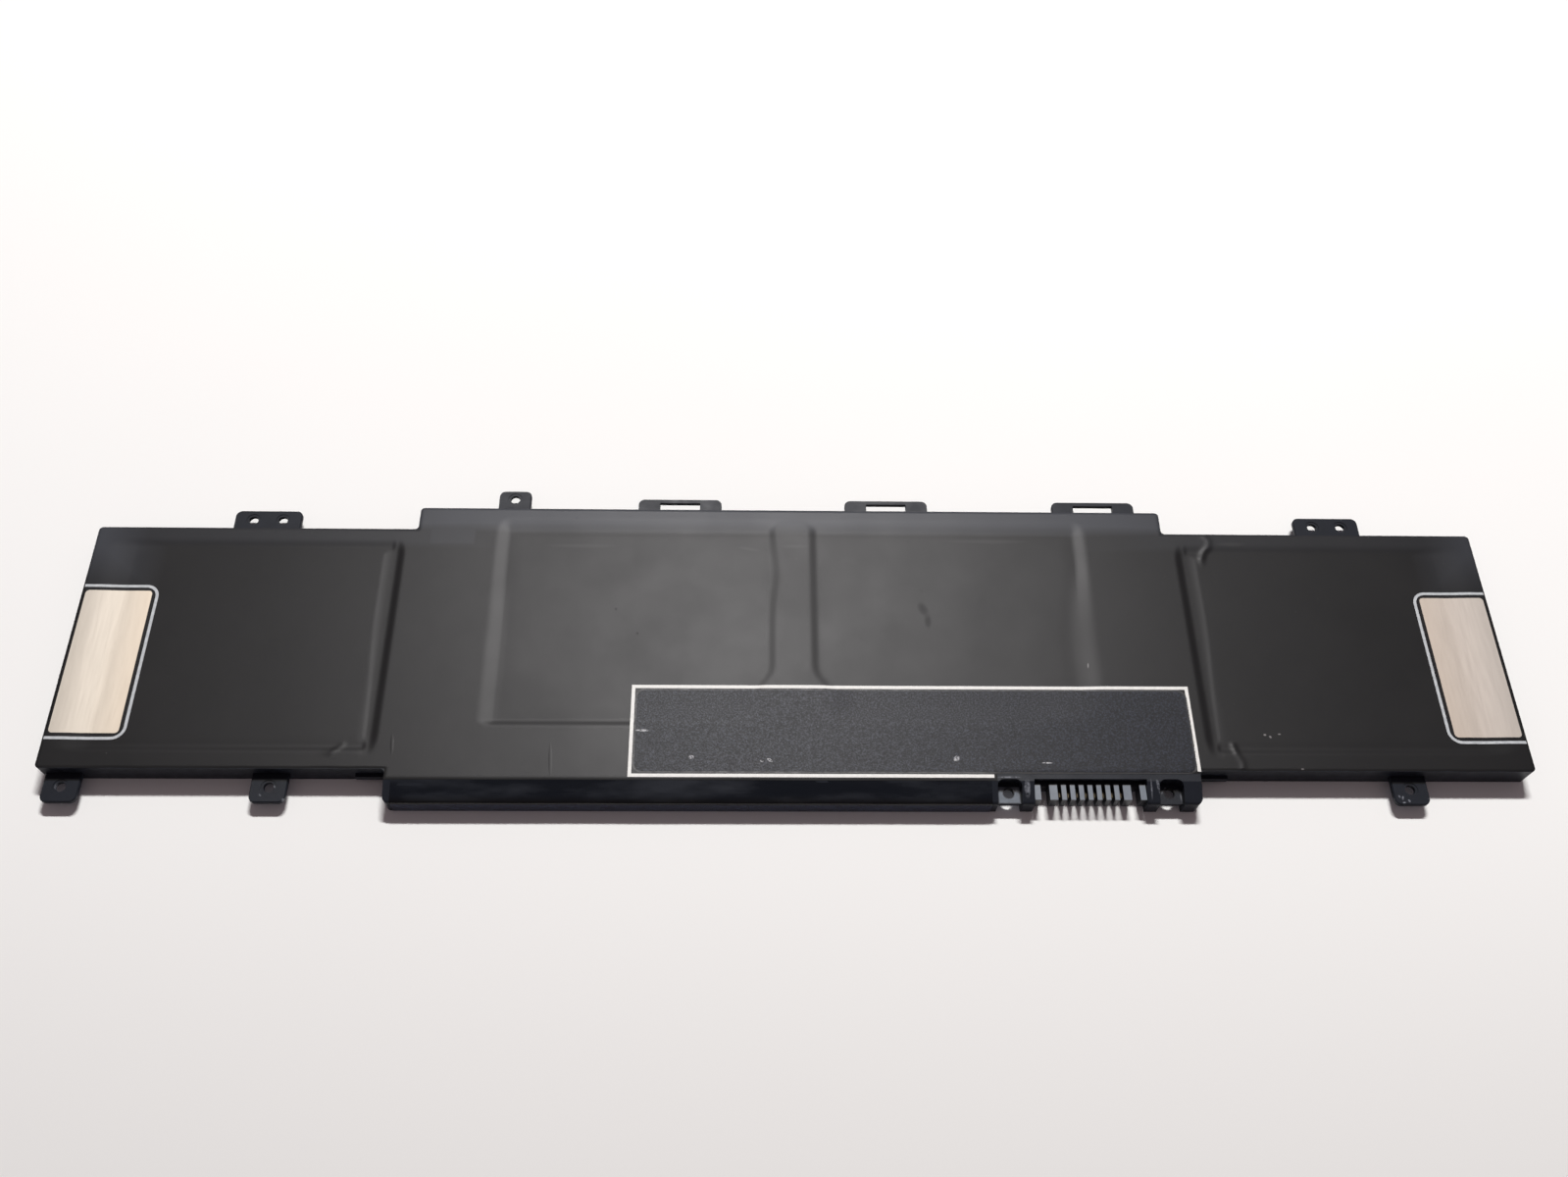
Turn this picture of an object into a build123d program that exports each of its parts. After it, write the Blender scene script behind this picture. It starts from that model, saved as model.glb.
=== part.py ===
"""Flat internal laptop battery: a moulded frame, four pouch cells, a protection board and thin films.

X runs along the pack, Y from the connector's side to the far side, Z up.
The origin is the middle of the two wings on the underside.
"""

import os

from build123d import *

# Pouch cells
CELL_LENGTH = 67.9
CELL_DEPTH = 56.8
CELL_HEIGHT = 5.55
CELL_CORNER = 3.0
CELL_ROUND = 1.2
CELL_GAP = 0.3
CELL_TAPE = 0.1
TAPE_INSET = 6.0
TERRACE = 1.9
TERRACE_INSET = 4.0
TERRACE_HEIGHT = 0.4
FOLD = 0.2
FOLD_HEIGHT = 2.6
TERMINAL_SPACING = 28.0
TERMINAL_WIDTH = 6.0
TERMINAL_HEIGHT = 0.2
TERMINAL_LAP = 0.65

# Nickel straps
STRAP_WIDTH = 1.5
STRAP_HEIGHT = 0.2
STRAP_GAP = 0.4
STRAP_MARGIN = 1.5
STRAP_LANDING = 4.0
STRAP_NOTCH_HEADROOM = 0.6

# Films, tape and labels
FILM = 0.15
NOSE_TAPE = 0.1
LABEL = 0.1
DIP_OVER_CELLS = 0.25
DIP_NEAR_RUN = 1.9
WING_DIP_OVERHANG = 3.0
WING_DIP_INNER_RUN = 1.5
WING_DIP_END_RUN = 7.5
WING_DIP_FAR_RUN = 3.0
MIDDLE_DIP_OVERHANG = 0.7
MIDDLE_DIP_INNER_RUN = 1.2
MIDDLE_DIP_END_RUN = 3.5
MIDDLE_DIP_FAR_RUN = 4.4
GROOVE_DEPTH = 0.7
GROOVE_FLOOR = 1.0
GROOVE_FLOOR_INSET = 1.4
GROOVE_INNER_RUN = 2.6
GROOVE_OUTER_RUN = 2.4
GROOVE_END_RUN = 5.0
GROOVE_ROUND = 0.4
FILM_SETBACK = 1.8
BOTTOM_RIM = 1.0
RATING_LABEL_LENGTH = 127.2
RATING_LABEL_DEPTH = 20.2
RATING_LABEL_SIDE_INSET = 0.8
RATING_LABEL_NEAR_INSET = 0.3
RATING_LABEL_ROUND = 2.0
END_LABEL_LENGTH = 15.6
END_LABEL_DEPTH = 36.9
END_LABEL_SIDE_INSET = 0.9
END_LABEL_FAR_INSET = 17.8
END_LABEL_ROUND = 0.8

# Frame walls
END_WALL = 1.8
NEAR_WALL = 3.5
FAR_WALL = 2.3
MIDDLE_FAR_WALL = 2.0
MIDDLE_FAR_STEP = 6.2
SIDE_DECK = 18.6
RIB = 1.2
DECK = 1.0
DECK_POCKETS = 3
OUTLINE_ROUND = 1.0
JUNCTION_LENGTH = 7.0
JUNCTION_DEPTH = 0.9
JUNCTION_BASE = 1.8
JUNCTION_HEIGHT = 1.6

# Board bay and its sloping nose
BAY_DEPTH = 11.3
NOSE_DEPTH = 5.1
NOSE_HEIGHT = 4.6
NOSE_WALL = 1.0
NOSE_ROUND = 0.8
NOSE_END_ROUND = 1.6

# Screw tabs and hook tabs
TAB_TOP = 3.3
TAB_HEIGHT = 1.1
TAB_ROUND = 1.5
TAB_ROOT = 0.5
TAB_CHAMFER = 0.2
SCREW_RADIUS = 1.15
SCREW_SEAT_RADIUS = 1.75
SCREW_SEAT_DEPTH = 0.15
NEAR_TAB_WIDTH = 8.1
NEAR_TAB_REACH = 6.9
NEAR_TAB_HOLE = 3.3
LEFT_OUTER_TAB_INSET = 5.4
LEFT_INNER_TAB_INSET = 51.3
RIGHT_TAB_INSET = 28.6
PAIR_TAB_WIDTH = 16.4
PAIR_TAB_REACH = 6.8
PAIR_TAB_HOLE = 4.0
PAIR_SPACING = 7.2
LEFT_PAIR_INSET = 39.2
RIGHT_PAIR_INSET = 34.0
SINGLE_TAB_WIDTH = 8.0
SINGLE_TAB_REACH = 7.0
SINGLE_TAB_HOLE = 4.5
SINGLE_TAB_INSET = 22.4
HOOK_TAB_WIDTH = 20.8
HOOK_TAB_REACH = 4.9
HOOK_SLOT_LENGTH = 10.0
HOOK_SLOT_DEPTH = 3.0
HOOK_RAIL = 1.1
LEFT_HOOK_X = -28.0
MIDDLE_HOOK_X = 23.8
RIGHT_HOOK_INSET = 15.5

# Blade connector and the ears beside it
CONTACT_COUNT = 8
CONTACT_PITCH = 2.0
CONTACT_SLOT = 0.9
INNER_BAR = 1.8
GUIDE_SLOT = 2.0
OUTER_BAR = 1.4
BAR_DEPTH = 3.6
BAR_BASE = 0.6
BAR_TOP = 4.6
CONNECTOR_SETBACK = 1.2
CONNECTOR_BLOCK_DEPTH = 4.0
CONNECTOR_BLOCK_TOP = 3.4
CONNECTOR_CLEARANCE = 0.1
LEDGE = 1.3
PARTITION = 2.8
BUMPER = 4.1
EAR_POCKET = 5.5
EAR_POCKET_ROUND = 1.5
EAR_SETBACK = 0.7
EAR_HOLE_SETBACK = 3.3
CONTACT_LEAF = 0.15
CONTACT_LEAF_LENGTH = 2.2
CONTACT_LEAF_BASE = 0.9
CONTACT_LEAF_TOP = 2.4
CONTACT_PLAY = 0.04
CONTACT_TAIL = 2.0
CONTACT_TAIL_WIDTH = 0.6

# Protection board and what is soldered to it
BOARD_BASE = 1.0
BOARD_HEIGHT = 0.8
BOARD_GAP = 0.3
BOARD_END_GAP = 2.0
BOARD_NEAR_GAP = 1.2
POST_RADIUS = 1.3
PIN_RADIUS = 0.6
PIN_HOLE_RADIUS = 0.7
PIN_PROUD = 0.3
POST_INSET = 2.4
POST_SPACING = 50.0
POST_COUNT = 4
CHIP_ROW = 6.6
CHIP_CHAMFER = 0.15
GAUGE_CHIP_SIZE = (6.4, 4.4, 1.1)
GAUGE_CHIP_X = -22.0
TRANSISTOR_SIZE = (5.0, 5.6, 1.0)
CHARGE_TRANSISTOR_X = 14.0
DISCHARGE_TRANSISTOR_X = 22.0
FUSE_SIZE = (4.0, 3.0, 1.2)
FUSE_X = 32.0
RESISTOR_SIZE = (6.3, 3.2, 0.6)
RESISTOR_X = -8.0
THERMISTOR_SIZE = (1.6, 0.8, 0.8)
THERMISTOR_INSET = 48.6
CAPACITOR_SIZE = (2.0, 1.25, 1.25)
CAPACITOR_COUNT = 4
CAPACITOR_INSET = 22.6
CAPACITOR_SPACING = 4.0

# Heights that follow
CELL_BASE = FILM + CELL_TAPE
FIELD_TOP = CELL_BASE + CELL_HEIGHT + FILM
BORDER_TOP = FIELD_TOP + DIP_OVER_CELLS
DECK_TOP = BORDER_TOP - FILM
DECK_UNDER = DECK_TOP - DECK
BOARD_TOP = BOARD_BASE + BOARD_HEIGHT
STRAP_TOP = BOARD_TOP + STRAP_HEIGHT
ABOVE = 2 * BORDER_TOP
BELOW = -BORDER_TOP

# Lengths that follow, measured from the pack's middle
STRAP_PITCH = STRAP_WIDTH + STRAP_GAP
MIDDLE_CHANNEL = 2 * (TERRACE + STRAP_GAP + STRAP_PITCH) + STRAP_WIDTH
WING_CHANNEL = TERRACE + 2 * STRAP_PITCH + STRAP_MARGIN
MIDDLE_CELL_END = MIDDLE_CHANNEL / 2
MIDDLE_BAY_END = MIDDLE_CELL_END + CELL_LENGTH + CELL_GAP
MIDDLE_END = MIDDLE_BAY_END + SIDE_DECK
WING_CELL_END = MIDDLE_END + WING_CHANNEL
WING_BAY_END = WING_CELL_END + CELL_LENGTH + CELL_GAP
WING_END = WING_BAY_END + END_WALL
WING_FAR = (NEAR_WALL + CELL_DEPTH + 2 * CELL_GAP + FAR_WALL) / 2
WING_NEAR = -WING_FAR
MIDDLE_FAR = WING_FAR + MIDDLE_FAR_STEP
WING_CELL_NEAR = WING_NEAR + NEAR_WALL + CELL_GAP
MIDDLE_CELL_NEAR = MIDDLE_FAR - MIDDLE_FAR_WALL - CELL_GAP - CELL_DEPTH
BAY_FAR = MIDDLE_CELL_NEAR - CELL_GAP - RIB
TOP_NEAR = BAY_FAR - BAY_DEPTH
NOSE_FRONT = TOP_NEAR - NOSE_DEPTH
NOSE_SURFACE = NOSE_FRONT + NOSE_TAPE
BAY_END = MIDDLE_END - RIB

# The connector's places that follow
CONTACT_ROW = (CONTACT_COUNT - 1) * CONTACT_PITCH
CONNECTOR_HALF = (CONTACT_ROW + CONTACT_SLOT) / 2 + INNER_BAR + GUIDE_SLOT + OUTER_BAR
OPENING_HALF = CONNECTOR_HALF + CONNECTOR_CLEARANCE
EAR_OFFSET = OPENING_HALF + PARTITION + EAR_POCKET / 2
CONNECTOR_X = MIDDLE_END - BUMPER - EAR_POCKET / 2 - EAR_OFFSET
FRONT_POCKETS_START = CONNECTOR_X - EAR_OFFSET - EAR_POCKET / 2
NOSE_BAR_END = FRONT_POCKETS_START - RIB
FILM_NEAR = TOP_NEAR + FILM_SETBACK
LEDGE_FRONT = FILM_NEAR - LEDGE
CONNECTOR_FRONT = NOSE_FRONT + CONNECTOR_SETBACK
BAR_BACK = CONNECTOR_FRONT + BAR_DEPTH
CONNECTOR_BACK = BAR_BACK + CONNECTOR_BLOCK_DEPTH
EAR_HOLE_Y = NOSE_FRONT + EAR_HOLE_SETBACK

# The board's places that follow
BOARD_FAR = BAY_FAR - BOARD_GAP
BOARD_NEAR = TOP_NEAR + BOARD_NEAR_GAP
BOARD_END = BAY_END - BOARD_END_GAP
POST_Y = BOARD_FAR - POST_INSET
CHIP_Y = BOARD_FAR - CHIP_ROW
STRAP_ROW_FAR = BOARD_FAR - STRAP_GAP

# Each cell: its terminal end in X, its near edge in Y and the way its terminals face along X
CELLS = {
    "left_wing": (-WING_CELL_END, WING_CELL_NEAR, 1),
    "left_middle": (-MIDDLE_CELL_END, MIDDLE_CELL_NEAR, 1),
    "right_middle": (MIDDLE_CELL_END, MIDDLE_CELL_NEAR, -1),
    "right_wing": (WING_CELL_END, WING_CELL_NEAR, -1),
}


def block(x0, x1, y0, y1, z0, z1):
    """Box between the given limits."""
    return Pos((x0 + x1) / 2, (y0 + y1) / 2, (z0 + z1) / 2) * Box(abs(x1 - x0), y1 - y0, z1 - z0)


def field(x0, x1, y0, y1, radius):
    """Flat rounded rectangle between the given limits."""
    return Pos((x0 + x1) / 2, (y0 + y1) / 2) * RectangleRounded(abs(x1 - x0), y1 - y0, radius)


def raised(sketch, z0, z1):
    """Plan shape carried from one height to another."""
    return extrude(Pos(0, 0, z0) * sketch, amount=z1 - z0)


def post(x, y, radius, z0, z1):
    """Upright cylinder between two heights."""
    return Pos(x, y, (z0 + z1) / 2) * Cylinder(radius, z1 - z0)


def hollow(limits, runs, radius, z_floor, z_rim):
    """Hollow with sloping sides: its limits at the rim and each side's run down to the floor."""
    x0, x1, y0, y1 = limits
    left, right, near, far = runs
    rim = Pos(0, 0, z_rim) * field(x0, x1, y0, y1, radius)
    floor = Pos(0, 0, z_floor) * field(x0 + left, x1 - right, y0 + near, y1 - far, radius)
    return loft([floor, rim])


def pack_outline(near):
    """Plan of the two wings and the deeper middle, whose near edge is given."""
    wings = Rectangle(2 * WING_END, 2 * WING_FAR)
    middle = Pos(0, (MIDDLE_FAR + near) / 2) * Rectangle(2 * MIDDLE_END, MIDDLE_FAR - near)
    plan = wings + middle
    return fillet(plan.vertices(), OUTLINE_ROUND)


def cell_limits(place):
    """Left, right, near and far limits of one cell."""
    end, near, way = CELLS[place]
    other = end - way * CELL_LENGTH
    return min(end, other), max(end, other), near, near + CELL_DEPTH


def lane(place, number):
    """Limits in X of a strap's lane beside a cell's terminals, counted from the cell."""
    end, _, way = CELLS[place]
    start = end + way * (TERRACE + STRAP_GAP + number * STRAP_PITCH)
    return start, start + way * STRAP_WIDTH


def terminal_limits(place, side):
    """Near and far limits of one terminal tab: side is -1 for the near one and 1 for the far one."""
    middle = CELLS[place][1] + CELL_DEPTH / 2 + side * TERMINAL_SPACING / 2
    return middle - TERMINAL_WIDTH / 2, middle + TERMINAL_WIDTH / 2


def pouch_cell(place):
    """Sealed pouch with rounded edges, folded side seams and a flat sealed edge at its terminals."""
    x0, x1, y0, y1 = cell_limits(place)
    end, _, way = CELLS[place]
    top = CELL_BASE + CELL_HEIGHT
    pouch = raised(field(x0, x1, y0, y1, CELL_CORNER), CELL_BASE, top)
    rims = pouch.faces().sort_by(Axis.Z)[-1].edges() + pouch.faces().sort_by(Axis.Z)[0].edges()
    pouch = fillet(rims, CELL_ROUND)
    seam = STRAP_TOP + TERMINAL_HEIGHT / 2
    low, high = seam - TERRACE_HEIGHT / 2, seam + TERRACE_HEIGHT / 2
    root, lip = end - way * CELL_ROUND, end + way * TERRACE
    pouch += block(root, lip, y0 + TERRACE_INSET, y1 - TERRACE_INSET, low, high)
    left, right = x0 + TERRACE_INSET, x1 - TERRACE_INSET
    for edge in (y0, y1):
        pouch += block(left, right, edge - FOLD, edge + FOLD, low, low + FOLD_HEIGHT)
    return pouch


def terminal_tab(place, side, lane_number):
    """Flat metal tab from the sealed edge onto its strap."""
    end, _, way = CELLS[place]
    y0, y1 = terminal_limits(place, side)
    reach = lane(place, lane_number)[0] + way * TERMINAL_LAP
    return block(end + way * TERRACE, reach, y0, y1, STRAP_TOP, STRAP_TOP + TERMINAL_HEIGHT)


def cell_tape(place):
    """Double-sided tape between one cell and the bottom film."""
    x0, x1, y0, y1 = cell_limits(place)
    return block(x0 + TAPE_INSET, x1 - TAPE_INSET, y0 + TAPE_INSET, y1 - TAPE_INSET, FILM, CELL_BASE)


def wing_strap(place, side, lane_number):
    """Strap that runs down a wing's channel and turns onto the end of the board."""
    way = CELLS[place][2]
    x0, x1 = lane(place, lane_number)
    far = terminal_limits(place, side)[1]
    row_far = STRAP_ROW_FAR - (1 - lane_number) * STRAP_PITCH
    row_near = row_far - STRAP_WIDTH
    landing = -way * (BOARD_END - STRAP_LANDING)
    run = block(x0, x1, row_near, far, BOARD_TOP, STRAP_TOP)
    return run + block(x0, landing, row_near, row_far, BOARD_TOP, STRAP_TOP)


def middle_strap(place, side, lane_number):
    """Straight strap from between the middle cells onto the board."""
    x0, x1 = lane(place, lane_number)
    far = terminal_limits(place, side)[1]
    return block(x0, x1, BOARD_FAR - STRAP_LANDING, far, BOARD_TOP, STRAP_TOP)


def bay_limits():
    """Plan limits of the three openings that hold the cells."""
    wing_far = WING_CELL_NEAR + CELL_DEPTH + CELL_GAP
    middle_far = MIDDLE_CELL_NEAR + CELL_DEPTH + CELL_GAP
    wing_near = WING_CELL_NEAR - CELL_GAP
    middle_near = MIDDLE_CELL_NEAR - CELL_GAP
    return (
        (-WING_BAY_END, -MIDDLE_END, wing_near, wing_far),
        (-MIDDLE_BAY_END, MIDDLE_BAY_END, middle_near, middle_far),
        (MIDDLE_END, WING_BAY_END, wing_near, wing_far),
    )


def nose_section():
    """Section of the sloping nose, looking along X."""
    section = Polygon(
        (BAY_FAR, BELOW),
        (BAY_FAR, DECK_TOP),
        (TOP_NEAR, DECK_TOP),
        (NOSE_SURFACE, NOSE_HEIGHT),
        (NOSE_SURFACE, BELOW),
        align=None,
    )
    front_edge = section.vertices().sort_by_distance((NOSE_SURFACE, NOSE_HEIGHT))[0]
    return fillet(front_edge, NOSE_ROUND)


def nose_length(section, x0, x1):
    """Nose section carried from one X to another."""
    return extrude(Plane.YZ.offset(x0) * section, amount=x1 - x0)


def nose_plan():
    """Plan that rounds the two front corners of the nose."""
    return field(-MIDDLE_END, MIDDLE_END, NOSE_FRONT, BAY_FAR, NOSE_END_ROUND)


def board_bay():
    """Hollow for the board, open below."""
    reach = Pos(0, NOSE_WALL, -DECK) * nose_length(nose_section(), -BAY_END, NOSE_BAR_END)
    reach &= block(-BAY_END, NOSE_BAR_END, NOSE_FRONT, BAY_FAR, BELOW, ABOVE)
    behind_ears = block(NOSE_BAR_END, BAY_END, LEDGE_FRONT + RIB, BAY_FAR, BELOW, DECK_UNDER)
    return reach + behind_ears


def deck_pockets():
    """Hollows under the two side decks, parted by ribs."""
    x0, x1 = MIDDLE_BAY_END + RIB, BAY_END
    first, last = BAY_FAR + RIB, MIDDLE_FAR - RIB
    depth = (last - first - (DECK_POCKETS - 1) * RIB) / DECK_POCKETS
    pockets = Part()
    for number in range(DECK_POCKETS):
        y0 = first + number * (depth + RIB)
        pockets += block(x0, x1, y0, y0 + depth, BELOW, DECK_UNDER)
        pockets += block(-x1, -x0, y0, y0 + depth, BELOW, DECK_UNDER)
    return pockets


def strap_notches():
    """Ways for the straps through the ribs round the board's bay."""
    top = STRAP_TOP + STRAP_NOTCH_HEADROOM
    row_near = STRAP_ROW_FAR - 2 * STRAP_PITCH
    notches = block(-MIDDLE_END - RIB, -BAY_END, row_near, STRAP_ROW_FAR + STRAP_GAP, BELOW, top)
    notches += block(BAY_END, MIDDLE_END + RIB, row_near, STRAP_ROW_FAR + STRAP_GAP, BELOW, top)
    half = MIDDLE_CELL_END - TERRACE
    return notches + block(-half, half, BAY_FAR, MIDDLE_CELL_NEAR, BELOW, top)


def divider():
    """Bar between the two middle cells that carries the film over the straps."""
    half = MIDDLE_CELL_END - MIDDLE_DIP_OVERHANG - CELL_GAP
    far = MIDDLE_FAR - MIDDLE_FAR_WALL / 2
    return block(-half, half, BAY_FAR + RIB / 2, far, DECK_UNDER, DECK_TOP)


def front_openings():
    """Opening for the connector and the pockets above and below its two screw ears."""
    front = NOSE_FRONT - NOSE_DEPTH
    x0, x1 = CONNECTOR_X - OPENING_HALF, CONNECTOR_X + OPENING_HALF
    openings = block(x0, x1, front, LEDGE_FRONT, BELOW, ABOVE)
    openings += block(x0, x1, LEDGE_FRONT, LEDGE_FRONT + RIB, BELOW, DECK_UNDER)
    for side in (-1, 1):
        middle = CONNECTOR_X + side * EAR_OFFSET
        left, right = middle - EAR_POCKET / 2, middle + EAR_POCKET / 2
        openings += raised(field(left, right, front, LEDGE_FRONT, EAR_POCKET_ROUND), TAB_TOP, ABOVE)
        openings += block(left, right, front, LEDGE_FRONT, BELOW, TAB_TOP - TAB_HEIGHT)
        openings += block(left, right, front, NOSE_FRONT + EAR_SETBACK, BELOW, ABOVE)
        openings += screw_hole(middle, EAR_HOLE_Y)
    return openings


def screw_hole(x, y):
    """Through hole in a tab with a shallow seat for the screw's head."""
    hole = post(x, y, SCREW_RADIUS, BELOW, ABOVE)
    return hole + post(x, y, SCREW_SEAT_RADIUS, TAB_TOP - SCREW_SEAT_DEPTH, TAB_TOP + SCREW_SEAT_DEPTH)


def tab(x, edge, reach, width, holes):
    """Flat lug that reaches out from an edge of the frame, with screw holes at the given places."""
    outward = 1 if edge > 0 else -1
    tip, root = edge + outward * reach, edge - outward * TAB_ROOT
    y0, y1 = min(tip, root), max(tip, root)
    lug = block(x - width / 2, x + width / 2, y0, y1, TAB_TOP - TAB_HEIGHT, TAB_TOP)
    upright = lug.edges().filter_by(Axis.Z)
    lug = fillet(upright.filter_by(lambda line: abs(line.center().Y - tip) < TAB_ROOT), TAB_ROUND)
    lug = chamfer(lug.faces().sort_by(Axis.Z)[-1].edges(), TAB_CHAMFER)
    for hole_x, hole_y in holes:
        lug -= screw_hole(hole_x, hole_y)
    return lug


def near_tab(x):
    """Screw tab on the near edge of a wing."""
    return tab(x, WING_NEAR, NEAR_TAB_REACH, NEAR_TAB_WIDTH, [(x, WING_NEAR - NEAR_TAB_HOLE)])


def pair_tab(x):
    """Tab with two holes on the far edge of a wing."""
    y = WING_FAR + PAIR_TAB_HOLE
    holes = [(x - PAIR_SPACING / 2, y), (x + PAIR_SPACING / 2, y)]
    return tab(x, WING_FAR, PAIR_TAB_REACH, PAIR_TAB_WIDTH, holes)


def single_tab(x):
    """Tab with one hole on the far edge of the middle."""
    return tab(x, MIDDLE_FAR, SINGLE_TAB_REACH, SINGLE_TAB_WIDTH, [(x, MIDDLE_FAR + SINGLE_TAB_HOLE)])


def hook_tab(x):
    """Tab with a long slot behind an outer rail, on the far edge of the middle."""
    slot_far = MIDDLE_FAR + HOOK_TAB_REACH - HOOK_RAIL
    half = HOOK_SLOT_LENGTH / 2
    slot = block(x - half, x + half, slot_far - HOOK_SLOT_DEPTH, slot_far, BELOW, ABOVE)
    return tab(x, MIDDLE_FAR, HOOK_TAB_REACH, HOOK_TAB_WIDTH, []) - slot


def all_tabs():
    """Every tab round the frame."""
    tabs = near_tab(-WING_END + LEFT_OUTER_TAB_INSET)
    tabs += near_tab(-WING_END + LEFT_INNER_TAB_INSET)
    tabs += near_tab(WING_END - RIGHT_TAB_INSET)
    tabs += pair_tab(-WING_END + LEFT_PAIR_INSET)
    tabs += pair_tab(WING_END - RIGHT_PAIR_INSET)
    tabs += single_tab(-MIDDLE_END + SINGLE_TAB_INSET)
    for x in (LEFT_HOOK_X, MIDDLE_HOOK_X, MIDDLE_END - RIGHT_HOOK_INSET):
        tabs += hook_tab(x)
    return tabs


def junction_ledges():
    """Small shelves in the corners between the nose and the wings' near walls."""
    y0, y1 = WING_NEAR - JUNCTION_DEPTH, WING_NEAR + TAB_ROOT
    top = JUNCTION_BASE + JUNCTION_HEIGHT
    left = block(-MIDDLE_END - JUNCTION_LENGTH, -MIDDLE_END + RIB, y0, y1, JUNCTION_BASE, top)
    right = block(MIDDLE_END - RIB, MIDDLE_END + JUNCTION_LENGTH, y0, y1, JUNCTION_BASE, top)
    return left + right


def post_places():
    """X of each post that carries the board."""
    first = -(POST_COUNT - 1) * POST_SPACING / 2
    return [first + number * POST_SPACING for number in range(POST_COUNT)]


def board_posts():
    """Posts under the deck, each with a pin that passes through the board."""
    posts = Part()
    for x in post_places():
        posts += post(x, POST_Y, POST_RADIUS, BOARD_TOP, DECK_UNDER + DECK / 2)
        posts += post(x, POST_Y, PIN_RADIUS, BOARD_BASE - PIN_PROUD, BOARD_TOP)
    return posts


def frame():
    """The whole moulding in one piece."""
    body = raised(pack_outline(TOP_NEAR), 0, DECK_TOP)
    nose = nose_length(nose_section(), -MIDDLE_END, MIDDLE_END) & raised(nose_plan(), 0, DECK_TOP)
    body += nose + junction_ledges()
    for x0, x1, y0, y1 in bay_limits():
        body -= raised(field(x0, x1, y0, y1, CELL_CORNER), BELOW, ABOVE)
    body -= board_bay() + deck_pockets() + strap_notches()
    body -= raised(bottom_plan(), BELOW, FILM)
    body -= front_openings()
    return body + divider() + board_posts() + all_tabs()


def top_plan():
    """Plan of the top film, set back over the connector."""
    setback = block(FRONT_POCKETS_START, MIDDLE_END, NOSE_FRONT, FILM_NEAR, 0, ABOVE)
    return raised(pack_outline(TOP_NEAR), TAB_TOP, ABOVE) - setback


def film_form(lift):
    """Everything under the top film's surface, raised by the lift."""
    form = raised(Rectangle(2 * WING_END, 2 * MIDDLE_FAR), TAB_TOP, BORDER_TOP + lift)
    for place in CELLS:
        form -= Pos(0, 0, lift) * dip(place)
    for place in ("left_wing", "right_wing"):
        form -= Pos(0, 0, lift) * groove(place)
    return form


def dip(place):
    """Shallow hollow where the film is drawn down onto one cell."""
    x0, x1, y0, y1 = cell_limits(place)
    if place.endswith("wing"):
        overhang, inner_run, end_run = WING_DIP_OVERHANG, WING_DIP_INNER_RUN, WING_DIP_END_RUN
        far_run = WING_DIP_FAR_RUN
    else:
        overhang, inner_run, end_run = MIDDLE_DIP_OVERHANG, MIDDLE_DIP_INNER_RUN, MIDDLE_DIP_END_RUN
        far_run = MIDDLE_DIP_FAR_RUN
    if CELLS[place][2] > 0:
        limits = (x0, x1 + overhang, y0, y1)
        runs = (end_run, inner_run, DIP_NEAR_RUN, far_run)
    else:
        limits = (x0 - overhang, x1, y0, y1)
        runs = (inner_run, end_run, DIP_NEAR_RUN, far_run)
    return hollow(limits, runs, CELL_CORNER, FIELD_TOP, BORDER_TOP)


def groove(place):
    """Dip of the film into the channel between a wing's cell and the middle."""
    end, near, way = CELLS[place]
    outer_edge = end + way * (GROOVE_FLOOR_INSET - GROOVE_OUTER_RUN)
    inner_edge = end + way * (GROOVE_FLOOR_INSET + GROOVE_FLOOR + GROOVE_INNER_RUN)
    limits = (min(outer_edge, inner_edge), max(outer_edge, inner_edge), near, near + CELL_DEPTH)
    runs = (GROOVE_OUTER_RUN, GROOVE_INNER_RUN, GROOVE_END_RUN, GROOVE_END_RUN)
    if way < 0:
        runs = (GROOVE_INNER_RUN, GROOVE_OUTER_RUN, GROOVE_END_RUN, GROOVE_END_RUN)
    return hollow(limits, runs, GROOVE_ROUND, BORDER_TOP - GROOVE_DEPTH, BORDER_TOP)


def top_film():
    """Thin film drawn over the cells and sunk into the channels."""
    return (film_form(0) - film_form(-FILM)) & top_plan()


def laid_label(plan):
    """Sticker of the given plan that follows the top film."""
    return (film_form(LABEL) - film_form(0)) & raised(plan, TAB_TOP, ABOVE)


def rating_label():
    """Long sticker at the near right of the middle."""
    right = MIDDLE_END - RATING_LABEL_SIDE_INSET
    near = FILM_NEAR + RATING_LABEL_NEAR_INSET
    far = near + RATING_LABEL_DEPTH
    return laid_label(field(right - RATING_LABEL_LENGTH, right, near, far, RATING_LABEL_ROUND))


def end_label(side):
    """Upright sticker at the end of one wing."""
    outer = WING_END - END_LABEL_SIDE_INSET
    edges = (side * outer, side * (outer - END_LABEL_LENGTH))
    far = WING_FAR - END_LABEL_FAR_INSET
    return laid_label(field(min(edges), max(edges), far - END_LABEL_DEPTH, far, END_LABEL_ROUND))


def bottom_plan():
    """Plan of the bottom film, inside the frame's rim and clear of the connector."""
    plan = offset(pack_outline(NOSE_SURFACE), -BOTTOM_RIM)
    length = MIDDLE_END - NOSE_BAR_END + BOTTOM_RIM
    depth = LEDGE_FRONT + RIB - NOSE_FRONT
    return plan - Pos(NOSE_BAR_END + length / 2, NOSE_FRONT + depth / 2) * Rectangle(length, depth)


def bottom_film():
    """Plain film that closes the underside."""
    return raised(bottom_plan(), 0, FILM)


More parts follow.
